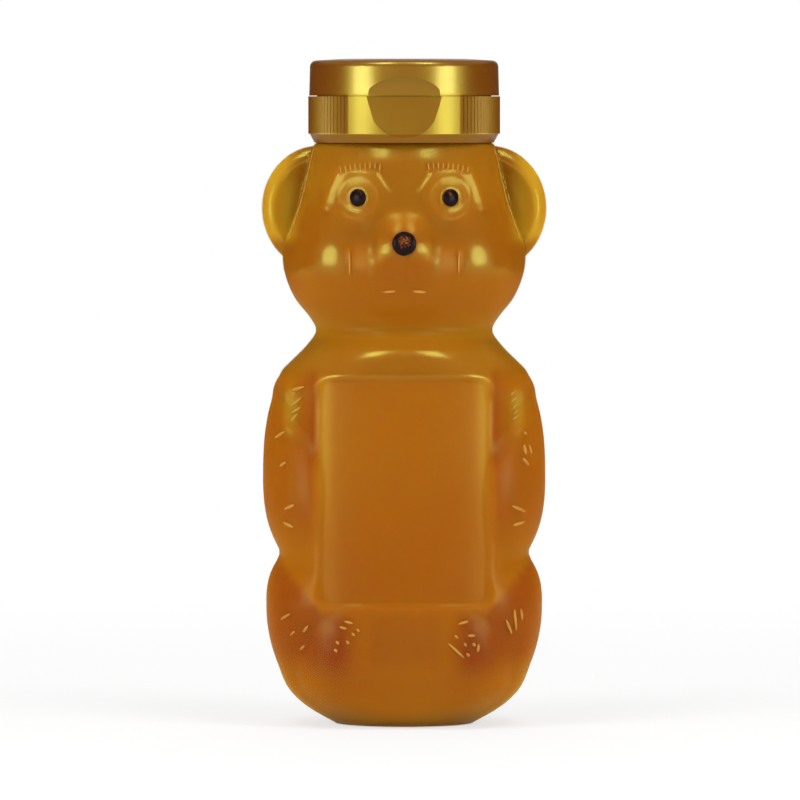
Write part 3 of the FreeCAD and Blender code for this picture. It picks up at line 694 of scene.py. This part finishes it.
facing = plastic.node("ShaderNodeFresnel", None, {"IOR": plasticLook["ior"], "Normal": skinBump})
shine = (plasticLook["headOn"] + facing * plasticLook["grazing"]) * (1 - dulledShare)
plastic.show(plastic.node("ShaderNodeMixShader", None, {0: shine, 1: clear, 2: gloss}))

wetLook = dict(mirrored=(0.9, 1.0, 0.5, 1), rough=0.3, share=0.015, scale=80.0)
wetWall = Finish("wetted_inner_wall")  # honey against plastic hardly reflects
film = wetWall.node("ShaderNodeBsdfGlossy", None,
                    {"Color": wetLook["mirrored"], "Roughness": wetLook["rough"]})
still = wetWall.node("ShaderNodeBsdfTransparent", None, {"Color": (1, 1, 1, 1)})
streaks = wetWall.noise(wetWall.place, wetLook["scale"], 2.0) * wetLook["share"]
wetWall.show(wetWall.node("ShaderNodeMixShader", None, {0: streaks, 1: still, 2: film}))


# Zones of the skin, in mm. Ramps are (measure, from, to), and humps are (measure, middle,
# half width, power).
faceCentres = dict(nose=(0.0, 105.0), whisker=(6.6, 102.0), eye=(11.0, 115.5))
hipLine = dict(side=17.5, z=24.6, slope=1.15)
panelRamps = [("side", 19.0, 17.8), ("z", 26.6, 27.8), ("z", 76.0, 74.8), ("depth", 12, 14)]
skinZones = dict(
    etched=[dict(adds=1.0, ramps=panelRamps)],
    etchedDull=[dict(adds=0.82, ramps=panelRamps),
                dict(adds=0.12, ramps=[*panelRamps, ("z", 60, 40)])],
    furred=[dict(adds=1.0, ramps=[("side", 19.5, 22.0), ("z", 39, 42), ("z", 77, 73)]),  # arms
            dict(adds=1.0, ramps=[("side", 8.0, 11.0), ("z", 12, 16), ("z", 28, 24)])],  # thighs
    limbs=[dict(adds=0.95, ramps=[("side", 17.8, 18.8), ("z", 77, 75)]),
           dict(adds=0.86, ramps=[("z", 29.5, 28)])],
    tufts=[dict(adds=1.0, humps=[("side", 24.6, 2.2, 2), ("z", 69, 6.0, 2)])],
    face=[dict(adds=0.86, ramps=[("side", 7.5, 6.0), ("z", 103, 100.5), ("z", 83, 85)]),  # lip
          dict(adds=0.86, ramps=[("side", 13.5, 12.6), ("side", 7.0, 8.0), ("z", 90, 93),
                                 ("z", 106, 103)]),  # sides of the snout
          dict(adds=0.817, humps=[("side", 0, 4.5, 4), ("z", 109.5, 2.6, 4)]),  # bridge
          dict(adds=0.86, humps=[("nose", 0, 3.7, 6)]),
          dict(adds=0.86, humps=[("whisker", 0, 1.4, 4)]),
          dict(adds=0.344, ramps=[("eye", 7.2, 5.6)])],
    around=[dict(adds=0.86, ramps=[("z", 83.6, 84.6), ("z", 99.5, 96)]),  # chin
            dict(adds=0.43, ramps=[("side", 25.0, 26.5), ("z", 103, 105)])],  # ears
)


def measured(thing):  # what the zones fade over, at each point
    places = np.empty(len(thing.data.vertices) * 3)
    thing.data.vertices.foreach_get("co", places)
    x, y, z = (places.reshape(-1, 3) / mm).T
    side, depth = np.abs(x), np.abs(y)
    measures = dict(side=side, depth=depth, z=z, ahead=y < 0)
    measures["bearing"] = np.degrees(np.arctan2(side, depth))
    measures["hip"] = z - hipLine["z"] - np.maximum(side - hipLine["side"], 0) * hipLine["slope"]
    for name, (aside, height) in faceCentres.items():
        measures[name] = np.hypot(side - aside, z - height)
    return measures


def zoneShares(zones, measures):  # each zone's number at each point
    shares = []
    for zone in zones:
        share = zone["adds"]
        for name, start, end in zone.get("ramps", ()):
            share = share * smoothStep(start, end, measures[name])
        for name, middle, half, power in zone.get("humps", ()):
            share = share * np.exp(-((np.abs(measures[name] - middle) / half) ** power))
        shares.append(share)
    return np.array(shares)


def added(zones, measures):
    return zoneShares(zones, measures).sum(axis=0)


def strongest(zones, measures):
    return zoneShares(zones, measures).max(axis=0)


def dulledSkin(measures):  # where the mould was left rough: limbs, face and, less so, the panels
    limbs = strongest(skinZones["limbs"], measures) * (1 - added(skinZones["tufts"], measures))
    face = strongest(skinZones["face"], measures) * measures["ahead"]
    around = strongest(skinZones["around"], measures)
    return np.maximum.reduce([limbs, face, around, added(skinZones["etchedDull"], measures)])


def stained(thing, label, values):  # a number at each point, for a finish to read
    layer = thing.data.attributes.new(label, "FLOAT", "POINT")
    layer.data.foreach_set("value", np.clip(values, 0, 1))


shell = smoothed(outwards(withEars(bottleShell(), 0.0)))
skin = measured(shell)
stained(shell, "matt", added(skinZones["etched"], skin))
stained(shell, "furred", added(skinZones["furred"], skin))
stained(shell, "dulled", dulledSkin(skin))
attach(shell, "bottle")
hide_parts("bottle_shell")
print("bottle shell:", len(shell.data.polygons), "faces")


# Short ridges of fur, lashes and folds in the mould, one instance to a stroke.
# Strokes are (x, z, x, z), from one end to the other, at the front of the bottle.
fur = dict(
    leftArm=[(-24.6, 72.7, -21.6, 73.7), (-25.7, 71.3, -23.5, 72.3), (-24.2, 69.6, -22.1, 71.3),
             (-25.9, 68.8, -23.4, 70.1), (-24.4, 67.8, -22.3, 69.2), (-26.1, 67.6, -24.4, 68.6),
             (-24.6, 65.7, -23.0, 67.8), (-27.7, 62.6, -25.5, 64.0), (-26.7, 56.6, -25.5, 57.4),
             (-25.7, 47.3, -23.8, 48.3), (-25.9, 44.4, -24.0, 43.5)],
    rightArm=[(22.9, 71.9, 25.1, 73.8), (23.1, 70.5, 25.6, 72.8), (23.3, 69.0, 25.8, 71.5),
              (23.5, 67.8, 26.0, 70.1), (23.5, 66.7, 26.2, 68.8), (25.6, 64.0, 26.3, 63.4),
              (25.8, 61.1, 26.2, 59.1), (26.8, 61.1, 27.4, 59.1), (25.6, 58.2, 26.8, 56.8),
              (23.3, 48.1, 26.0, 46.8), (23.5, 43.9, 25.8, 44.6)],
    leftFoot=[(-12.8, 23.5, -11.1, 23.1), (-13.8, 22.3, -12.4, 21.9), (-10.2, 21.9, -9.6, 21.3),
              (-11.2, 21.0, -10.6, 20.4), (-12.4, 19.3, -11.8, 18.7), (-14.6, 19.2, -14.0, 18.6),
              (-15.0, 17.5, -14.4, 16.9), (-26.5, 23.5, -24.6, 24.8), (-24.4, 20.2, -23.6, 21.0),
              (-21.7, 21.0, -20.7, 22.3), (-22.3, 17.1, -21.5, 17.9)],
    rightFoot=[(11.7, 22.9, 13.7, 23.5), (10.9, 20.5, 11.5, 19.9), (13.7, 20.4, 15.2, 20.4),
               (9.6, 18.7, 12.7, 15.8), (12.8, 18.8, 13.4, 18.2), (14.7, 18.8, 15.3, 18.2),
               (13.4, 16.6, 14.0, 16.0), (15.8, 16.9, 16.0, 18.5), (22.0, 23.5, 23.1, 20.6),
               (23.7, 25.6, 24.1, 21.4), (25.1, 25.8, 25.4, 23.5)],
)
furStroke = dict(armWide=0.36, footWide=0.3, proud=0.36)
lashes = dict(count=9, low=5.3, high=13.4, sill=119.4, arch=1.1, archFrom=0.3, archSpan=0.65,
              length=1.4, lean=0.6, upright=0.35, wide=0.14, proud=0.34)
smile = dict(line=(2.0, 94.3, 4.6, 94.1), wide=0.28, proud=0.42)
fold = dict(line=(11.8, 102.6, 11.7, 98.0), wide=0.18, proud=0.26)
earSeam = dict(low=105.5, high=125.0, count=8, bearing=78.0, wide=0.22, proud=0.22)
bead = dict(segments=12, rings=8, overrun=0.55)     # overrun: half a stroke, and a little more


def onFace(x, z):  # a point of the front, straight behind one x and height
    bearing = 0.0
    for _ in range(20):     # closes in on the bearing whose skin stands at x
        reach = float(bodyReach(np.array([bearing]), np.array([z]))[0])
        bearing = math.degrees(math.asin(max(-0.999, min(0.999, x / reach))))
    turned = math.radians(bearing)
    return Vector((reach * math.sin(turned), -reach * math.cos(turned), z))


def outOf(x, z, step=0.2):  # the direction the skin faces there
    aside = onFace(x + step, z) - onFace(x - step, z)
    upward = onFace(x, z + step) - onFace(x, z - step)
    return aside.cross(upward).normalized()


def lashStrokes(side):
    strokes = []
    for k in range(lashes["count"]):
        share = k / (lashes["count"] - 1)
        x = lashes["low"] + (lashes["high"] - lashes["low"]) * share
        arch = math.sin(math.pi * (lashes["archFrom"] + lashes["archSpan"] * share))
        foot = lashes["sill"] + lashes["arch"] * arch
        tip = x + lashes["lean"] * (share - lashes["upright"])
        strokes.append((side * x, foot, side * tip, foot + lashes["length"],
                        lashes["wide"], lashes["proud"]))
    return strokes


def seamStrokes(side):  # the seam where an ear leaves the head
    turned = math.radians(side * earSeam["bearing"])
    outward = Vector((math.sin(turned), -math.cos(turned), 0))
    heights = np.linspace(earSeam["low"], earSeam["high"], earSeam["count"] + 1)
    reaches = bodyReach(np.full(len(heights), side * earSeam["bearing"]), heights)
    places = [outward * float(reach) + Vector((0, 0, z)) for reach, z in zip(reaches, heights)]
    return [(first, last, (first + last) / 2, outward, earSeam["wide"], earSeam["proud"])
            for first, last in zip(places, places[1:])]


def strokeList():  # each stroke's ends, middle, outward direction, width and height
    strokes = []
    for part, lines in fur.items():
        wide = furStroke["armWide"] if "Arm" in part else furStroke["footWide"]
        strokes += [(*line, wide, furStroke["proud"]) for line in lines]
    for side in (-1, 1):
        strokes += lashStrokes(side)
        for mark in (smile, fold):
            x0, z0, x1, z1 = mark["line"]
            strokes.append((side * x0, z0, side * x1, z1, mark["wide"], mark["proud"]))
    laid = []
    for x0, z0, x1, z1, wide, proud in strokes:
        middle = (x0 + x1) / 2, (z0 + z1) / 2
        laid.append((onFace(x0, z0), onFace(x1, z1), onFace(*middle), outOf(*middle), wide, proud))
    return laid + seamStrokes(-1) + seamStrokes(1)


def ridgeTree():
    tree = bpy.data.node_groups.new("ridges", "GeometryNodeTree")
    for label, way, kind in (("Places", "INPUT", "Geometry"), ("Unit", "INPUT", "Float"),
                             ("Finish", "INPUT", "Material"), ("Ridges", "OUTPUT", "Geometry")):
        tree.interface.new_socket(label, in_out=way, socket_type="NodeSocket" + kind)
    ridges = Graph(tree)
    given = ridges.node("NodeGroupInput")
    kind, vector = "GeometryNodeInputNamedAttribute", dict(data_type="FLOAT_VECTOR")
    along, outward, size = [ridges.node(kind, vector, {"Name": label})
                            for label in ("along", "outward", "size")]
    ball = ridges.node("GeometryNodeMeshUVSphere", None,
                       {"Segments": bead["segments"], "Rings": bead["rings"], "Radius": 1.0})
    ball = ridges.node("GeometryNodeSetShadeSmooth", None, {"Geometry": ball})
    laid = ridges.node("FunctionNodeAlignRotationToVector", dict(axis="X"), {"Vector": along})
    laid = ridges.node("FunctionNodeAlignRotationToVector", dict(axis="Z", pivot_axis="X"),
                       {"Rotation": laid, "Vector": outward})
    scaled = ridges.node("ShaderNodeVectorMath", dict(operation="SCALE"),
                         {0: size, "Scale": given["Unit"]})
    placed = ridges.node("GeometryNodeInstanceOnPoints", None, {
        "Points": given["Places"], "Instance": ball, "Rotation": laid, "Scale": scaled})
    real = ridges.node("GeometryNodeRealizeInstances", None, {"Geometry": placed})
    dressed = ridges.node("GeometryNodeSetMaterial", None,
                          {"Geometry": real, "Material": given["Finish"]})
    ridges.node("NodeGroupOutput", None, {"Ridges": dressed})
    return tree


def strokesOnSkin(name, material):
    rows = dict(along=[], outward=[], size=[])
    points = []
    for first, last, middle, normal, wide, proud in strokeList():
        run = last - first
        points.append(middle * mm)
        rows["along"].append(run.normalized())
        rows["outward"].append(normal)
        rows["size"].append((run.length * bead["overrun"], wide, proud))
    marks = meshObject(name, points, [])
    for label, values in rows.items():
        layer = marks.data.attributes.new(label, "FLOAT_VECTOR", "POINT")
        layer.data.foreach_set("vector", [part for value in values for part in value])
    maker = marks.modifiers.new("ridges", "NODES")
    maker.node_group = ridgeTree()
    items = maker.node_group.interface.items_tree
    inputs = {item.name: item.identifier for item in items if item.in_out == "INPUT"}
    maker[inputs["Unit"]] = mm
    maker[inputs["Finish"]] = material
    return settled(marks)


# The ridges are moulded; their bright yellow is painted highlight, the glints they catch.
ridgeLook = dict(colours=((222, 154, 40), (236, 180, 70)), scale=400.0, rough=0.24, flowRough=0.1,
                 specular=0.6, ior=1.45, solid=0.56, edge=0.3)
ridgeFinish = Finish("moulded_ridge")
ridgeFlow = ridgeFinish.noise(ridgeFinish.place, ridgeLook["scale"], 2.0)
ridgeGloss = ridgeFinish.node("ShaderNodeBsdfPrincipled", None, {
    "Base Color": ridgeFinish.between(ridgeFlow, ridgeLook["colours"]),
    "Roughness": ridgeLook["rough"] + ridgeFlow * ridgeLook["flowRough"],
    "Specular IOR Level": ridgeLook["specular"]})
ridgeClear = ridgeFinish.node("ShaderNodeBsdfTransparent", None, {"Color": (1, 1, 1, 1)})
ridgeEdge = ridgeFinish.node("ShaderNodeFresnel", None, {"IOR": ridgeLook["ior"]})
ridgeShare = ridgeLook["solid"] + ridgeEdge * ridgeLook["edge"]
ridgeFinish.show(ridgeFinish.node("ShaderNodeMixShader", None,
                                  {0: ridgeShare, 1: ridgeClear, 2: ridgeGloss}))
tufts = strokesOnSkin("furRidges", ridgeFinish.material)
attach(tufts, "bottle")
print("fur ridges:", len(tufts.data.polygons), "faces")


# The honey. Its tone is 0 where it is deep and red and 1 where it is thin and yellow.
honeyMesh = dict(columns=260, rows=190, baseRows=6, inset=0.17, boreGap=0.2, boreStep=0.02,
                 edgeDrop=0.3, edgeRound=0.4)
honeyLook = dict(deep=(140, 58, 12), amber=(166, 99, 12), thin=(196, 150, 34),
                 cloudScale=35.0, cloud=0.16, rough=0.5, ior=1.3, specular=0.04,
                 scatter=0.75, scatterReach=(1.0, 0.5, 0.12), scatterScale=0.006)
plainTone = 0.46
# The zones add to the tone; those marked paint highlights, light and shade into it.
honeyZones = [
    dict(adds=0.58, ramps=[("side", 21.5, 26.5), ("z", 103, 107)]),  # ears
    dict(adds=-0.16, ramps=[("side", 28.0, 30.0), ("z", 103, 107)]),
    dict(adds=0.12, ramps=[("z", 106, 118), ("side", 24, 20)]),  # forehead
    dict(adds=0.08, humps=[("side", 0, 5.2, 2), ("z", 109.4, 3.0, 2)]),  # painted highlight on the snout's bridge
    dict(adds=0.3, humps=[("side", 5.0, 0.9, 2), ("z", 102.8, 2.4, 2)]),  # painted highlights beside the nose
    dict(adds=-0.14, humps=[("side", 0, 11.0, 2), ("z", 99, 7.0, 2)]),  # painted shade on the muzzle, which catches the light
    dict(adds=-0.12, ramps=[("side", 20, 25), ("z", 88, 92), ("z", 106, 103)]),  # cheeks
    dict(adds=0.05, ramps=[("side", 20, 25), ("z", 97, 100), ("z", 106, 103)]),
    dict(adds=0.1, ramps=[("z", 74, 78), ("z", 88, 84)]),  # shoulders
    dict(adds=0.08, humps=[("z", 87, 3.0, 2)]),  # neck
    dict(adds=0.22, humps=[("side", 17.2, 1.8, 2)], ramps=[("z", 33, 66), ("z", 77, 75)]),  # painted highlight inside the panel's sides, stronger upwards
    # painted shade just outside the panel's sides
    dict(adds=-0.22, humps=[("side", 19.4, 0.9, 2)], ramps=[("z", 54, 60), ("z", 78, 76)]),
    dict(adds=-0.12, ramps=[("z", 66, 30), ("side", 17, 12), ("z", 24, 30)]),  # panel's lower half
    dict(adds=-0.06, ramps=[("side", 18, 14), ("z", 27, 25)]),
    dict(adds=0.5, humps=[("side", 24.4, 2.0, 2), ("z", 69, 5.0, 2)]),  # painted highlight on the tuft on the shoulder
    dict(adds=-0.1, humps=[("side", 21, 2.5, 2), ("z", 56, 10.0, 2)]),  # arms
    dict(adds=-0.14, ramps=[("side", 18.6, 20.5), ("z", 38, 48), ("z", 80, 74)]),
    dict(adds=-0.3, ramps=[("hip", 1.2, -1.2), ("side", 10, 15), ("z", 9, 18)]),  # thighs
    dict(adds=-0.2, humps=[("side", 14.5, 5.5, 2), ("z", 15.5, 7.0, 2)]),
    dict(adds=-0.1, ramps=[("side", 8.5, 6.5), ("z", 12, 16), ("z", 26, 23)]),  # between the legs
    dict(adds=0.16, ramps=[("z", 9, 1)]),  # painted light near the foot, in place of the floor's reflection
    dict(adds=0.28, ramps=[("bearing", 58, 84), ("z", 36, 30)]),  # painted glow at the edges, low and at the waist
    dict(adds=0.16, ramps=[("bearing", 66, 86), ("z", 36, 44), ("z", 62, 52)]),
]


def honeyBody():
    columns = spread(honeyMesh["columns"] + 1, -180, 180, [shellMesh["frontDense"]])[:-1]
    inset = honeyMesh["inset"]
    rings = basePart(columns, inset, honeyMesh["baseRows"])
    for z in spread(honeyMesh["rows"], inset, form["fill"], shellMesh["rowDense"]):
        rings.append(wallRing(columns, z, inset))
    column = np.full(columns.shape, form["bore"] - honeyMesh["boreGap"])
    for z in (form["fill"] + honeyMesh["boreStep"], form["neckFill"] - honeyMesh["edgeDrop"]):
        rings.append(ringPoints(columns, column, z))
    rings.append(ringPoints(columns, column - honeyMesh["edgeRound"], form["neckFill"]))
    points, faces = stitched(rings)
    return meshObject("honey", points * mm, faces)


honeyFinish = Finish("honey")
cloud = honeyFinish.noise(honeyFinish.place, honeyLook["cloudScale"], 2.0)
mixed = (honeyFinish.attribute("tone") + (cloud - 0.5) * honeyLook["cloud"]).clamped()
stops = [(place, tint(*honeyLook[name]))
         for place, name in ((0.0, "deep"), (0.5, "amber"), (1.0, "thin"))]
body = honeyFinish.node("ShaderNodeValToRGB", dict(stops=stops), {"Fac": mixed})
honeyFinish.show(honeyFinish.node("ShaderNodeBsdfPrincipled", None, {
    "Base Color": body, "Roughness": honeyLook["rough"], "IOR": honeyLook["ior"],
    "Subsurface Weight": honeyLook["scatter"], "Subsurface Radius": honeyLook["scatterReach"],
    "Subsurface Scale": honeyLook["scatterScale"], "Specular IOR Level": honeyLook["specular"],
}))

honey = smoothed(outwards(withEars(honeyBody(), honeyMesh["inset"])))
honey.data.materials.clear()
honey.data.materials.append(honeyFinish.material)
stained(honey, "tone", plainTone + added(honeyZones, measured(honey)))
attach(honey, "bottle")
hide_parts("honey_fill")
print("honey:", len(honey.data.polygons), "faces")


# The painted beads: black enamel; the thin colours are amber patches of worn paint and painted
# glints.
beadLook = dict(black=((14, 6, 10), (34, 14, 14)), thin=((40, 16, 10), (146, 82, 38)),
                patchScale=1050.0, patchRough=0.6, smudgeScale=2600.0,
                wornFade=1.6, bareRate=5.0, amberFrom=0.36, amberRate=3.4,
                rough=0.24, smudgeRough=0.15, specular=0.07, coat=0.05, coatRough=0.12,
                bump=0.3, bumpDepth=0.00006)
beadGlintAndWear = {  # in mm: how far the amber patch reaches and where it lies; cover is how much stays black
    # the eyes' patches are painted glints at the top; the nose's are worn paint and painted glints
    "eye_left": dict(reach=1.3, cover=0.46, aside=0.3, above=0.9),
    "eye_right": dict(reach=1.3, cover=0.46, aside=0.0, above=0.9),
    "nose": dict(reach=3.0, cover=0.4, aside=0.0, above=0.4),
}


def beadPaint(name, glintAndWear, centre):
    made = Finish(name)
    patches = made.noise(made.place, beadLook["patchScale"], 3.0, beadLook["patchRough"])
    smudge = made.noise(made.place, beadLook["smudgeScale"], 3.0)
    apart = made.node("ShaderNodeVectorMath", dict(operation="DISTANCE"),
                      {0: made.place, 1: [part * mm for part in centre]})["Value"]
    reach = glintAndWear["reach"] * mm
    inside = ((reach - apart) * (beadLook["wornFade"] / reach)).clamped()
    # amber where the patch shows: painted glint, and worn paint on the nose
    amberShown = ((patches * inside - glintAndWear["cover"]) * beadLook["bareRate"]).clamped()
    amberBlend = ((smudge - beadLook["amberFrom"]) * beadLook["amberRate"]).clamped()
    black = made.between(smudge, beadLook["black"])
    amber = made.between(amberBlend, beadLook["thin"])
    bump = made.node("ShaderNodeBump", None, {
        "Height": smudge, "Strength": beadLook["bump"], "Distance": beadLook["bumpDepth"]})
    return made.show(made.node("ShaderNodeBsdfPrincipled", None, {
        "Base Color": made.colours(amberShown, black, amber),
        "Roughness": beadLook["rough"] + smudge * beadLook["smudgeRough"],
        "Specular IOR Level": beadLook["specular"], "Coat Weight": beadLook["coat"],
        "Coat Roughness": beadLook["coatRough"], "Normal": bump,
    }))


for name, glintAndWear in beadGlintAndWear.items():
    low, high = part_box(name)
    x, z = [(low[axis] + high[axis]) / 2 / mm for axis in (0, 2)]
    centre = (x + glintAndWear["aside"], low[1] / mm, z + glintAndWear["above"])
    paint(name, beadPaint(name + "_paint", glintAndWear, centre))
print("beads painted")


# The closure: metal flakes in an amber resin. Places are in metres, and a rate is one over the
# width of a fade.
goldLook = dict(
    flake=((134, 130, 34), (146, 138, 42)), carrier=((184, 92, 14), (198, 102, 20)),
    shadedFlake=(108, 92, 18), shadedCarrier=(176, 86, 10),     # painted shade on the grip ribs, and for the flakes on the chamfer too
    flakeShare=0.7, swirlShare=0.04,
    grainScale=1400.0, swirlScale=120.0, driftScale=35.0,
    grain=0.5, swirl=2.0, drift=3.0, bump=0.25, bumpDepth=0.00006,
    rough=0.26, swirlRough=0.1, skirtRough=0.06, gripRough=0.1,
    coat=0.55, skirtCoat=-0.45, coatRough=0.18, specular=0.3,
    chamferTop=0.128, chamferRate=4000.0, skirtTop=0.1369, skirtRate=2000.0,
    gripFrom=0.0118, gripRate=1600.0,       # the ribs leave the thumb recess bare
)
gold = Finish("gold_plastic")
grain = gold.noise(gold.place, goldLook["grainScale"], 3.0)
swirl = gold.noise(gold.place, goldLook["swirlScale"], 3.0)
drift = gold.noise(gold.place, goldLook["driftScale"], 1.0)
axes = gold.node("ShaderNodeSeparateXYZ", None, {"Vector": gold.place})
chamfer = ((goldLook["chamferTop"] - axes["Z"]) * goldLook["chamferRate"]).clamped()
skirt = ((goldLook["skirtTop"] - axes["Z"]) * goldLook["skirtRate"]).clamped()
ribbed = ((axes["X"].absolute() - goldLook["gripFrom"]) * goldLook["gripRate"]).clamped()
aboveChamfer = ((axes["Z"] - goldLook["chamferTop"]) * goldLook["chamferRate"]).clamped()
gripped = ribbed * skirt * aboveChamfer
goldBump = gold.node("ShaderNodeBump", None, {
    "Height": grain * goldLook["grain"] + swirl * goldLook["swirl"] + drift * goldLook["drift"],
    "Strength": goldLook["bump"], "Distance": goldLook["bumpDepth"]})
goldRough = (goldLook["rough"] + swirl * goldLook["swirlRough"] + skirt * goldLook["skirtRough"]
             + gripped * goldLook["gripRough"])
# painted shade: the flakes darken on the grip ribs and the chamfer, the resin on the ribs
flakeColour = gold.colours((gripped + chamfer).clamped(), gold.between(swirl, goldLook["flake"]),
                           tint(*goldLook["shadedFlake"]))
carrierColour = gold.colours(gripped, gold.between(swirl, goldLook["carrier"]),
                             tint(*goldLook["shadedCarrier"]))
flakes = gold.node("ShaderNodeBsdfPrincipled", None, {
    "Base Color": flakeColour, "Metallic": 1.0, "Roughness": goldRough, "Normal": goldBump,
    "Coat Weight": goldLook["coat"] + skirt * goldLook["skirtCoat"],
    "Coat Roughness": goldLook["coatRough"],
})
resin = gold.node("ShaderNodeBsdfPrincipled", None, {
    "Base Color": carrierColour, "Roughness": goldRough, "Normal": goldBump,
    "Specular IOR Level": goldLook["specular"],
})
flakeShare = goldLook["flakeShare"] + swirl * goldLook["swirlShare"]
gold.show(gold.node("ShaderNodeMixShader", None, {0: flakeShare, 1: resin, 2: flakes}))
for name in ("closure_base", "flip_lid"):
    paint(name, gold.material)

hinge = dict(
    rows=14,        # rings along the strip
    bevel=0.2,      # of the thickness
    strips={"hinge_film": "hingeFilm", "hinge_spring_left": "hingeSpringLeft",
            "hinge_spring_right": "hingeSpringRight"},
)


def hingeStrip(name, low, high):  # a strip of rings, between two corners in mm
    halfWide, halfThick = (high[0] - low[0]) / 2, (high[1] - low[1]) / 2
    x, y = (low[0] + high[0]) / 2, (low[1] + high[1]) / 2
    edge = min(halfWide, halfThick) * 2 * hinge["bevel"]
    u, v = halfWide - edge, halfThick - edge
    outline = [(-u, -halfThick), (u, -halfThick), (halfWide, -v), (halfWide, v),
               (u, halfThick), (-u, halfThick), (-halfWide, v), (-halfWide, -v)]
    rings = [np.array([(x + a, y + b, z) for a, b in outline])
             for z in np.linspace(low[2], high[2], hinge["rows"] + 1)]
    points, faces = stitched(rings)
    return meshObject(name, points * mm, faces, gold.material)


for node, name in hinge["strips"].items():
    low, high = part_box(node)
    strip = hingeStrip(name, *[[value / mm for value in corner] for corner in (low, high)])
    behind = (low[1] + high[1]) / 2
    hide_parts(node)
    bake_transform(strip)

foamLook = dict(colours=((214, 210, 198), (232, 229, 220)), cellScale=3000.0, rough=0.8,
                bump=0.4, bumpDepth=0.0001)
foam = Finish("liner_foam")
cells = foam.node("ShaderNodeTexVoronoi", None,
                  {"Vector": foam.place, "Scale": foamLook["cellScale"]})["Distance"]
foamBump = foam.node("ShaderNodeBump", None, {
    "Height": cells, "Strength": foamLook["bump"], "Distance": foamLook["bumpDepth"]})
foam.show(foam.node("ShaderNodeBsdfPrincipled", None, {
    "Base Color": foam.between(cells, foamLook["colours"]), "Roughness": foamLook["rough"],
    "Normal": foamBump}))
paint("sealing_ring", foam.material)
print("closure finished")
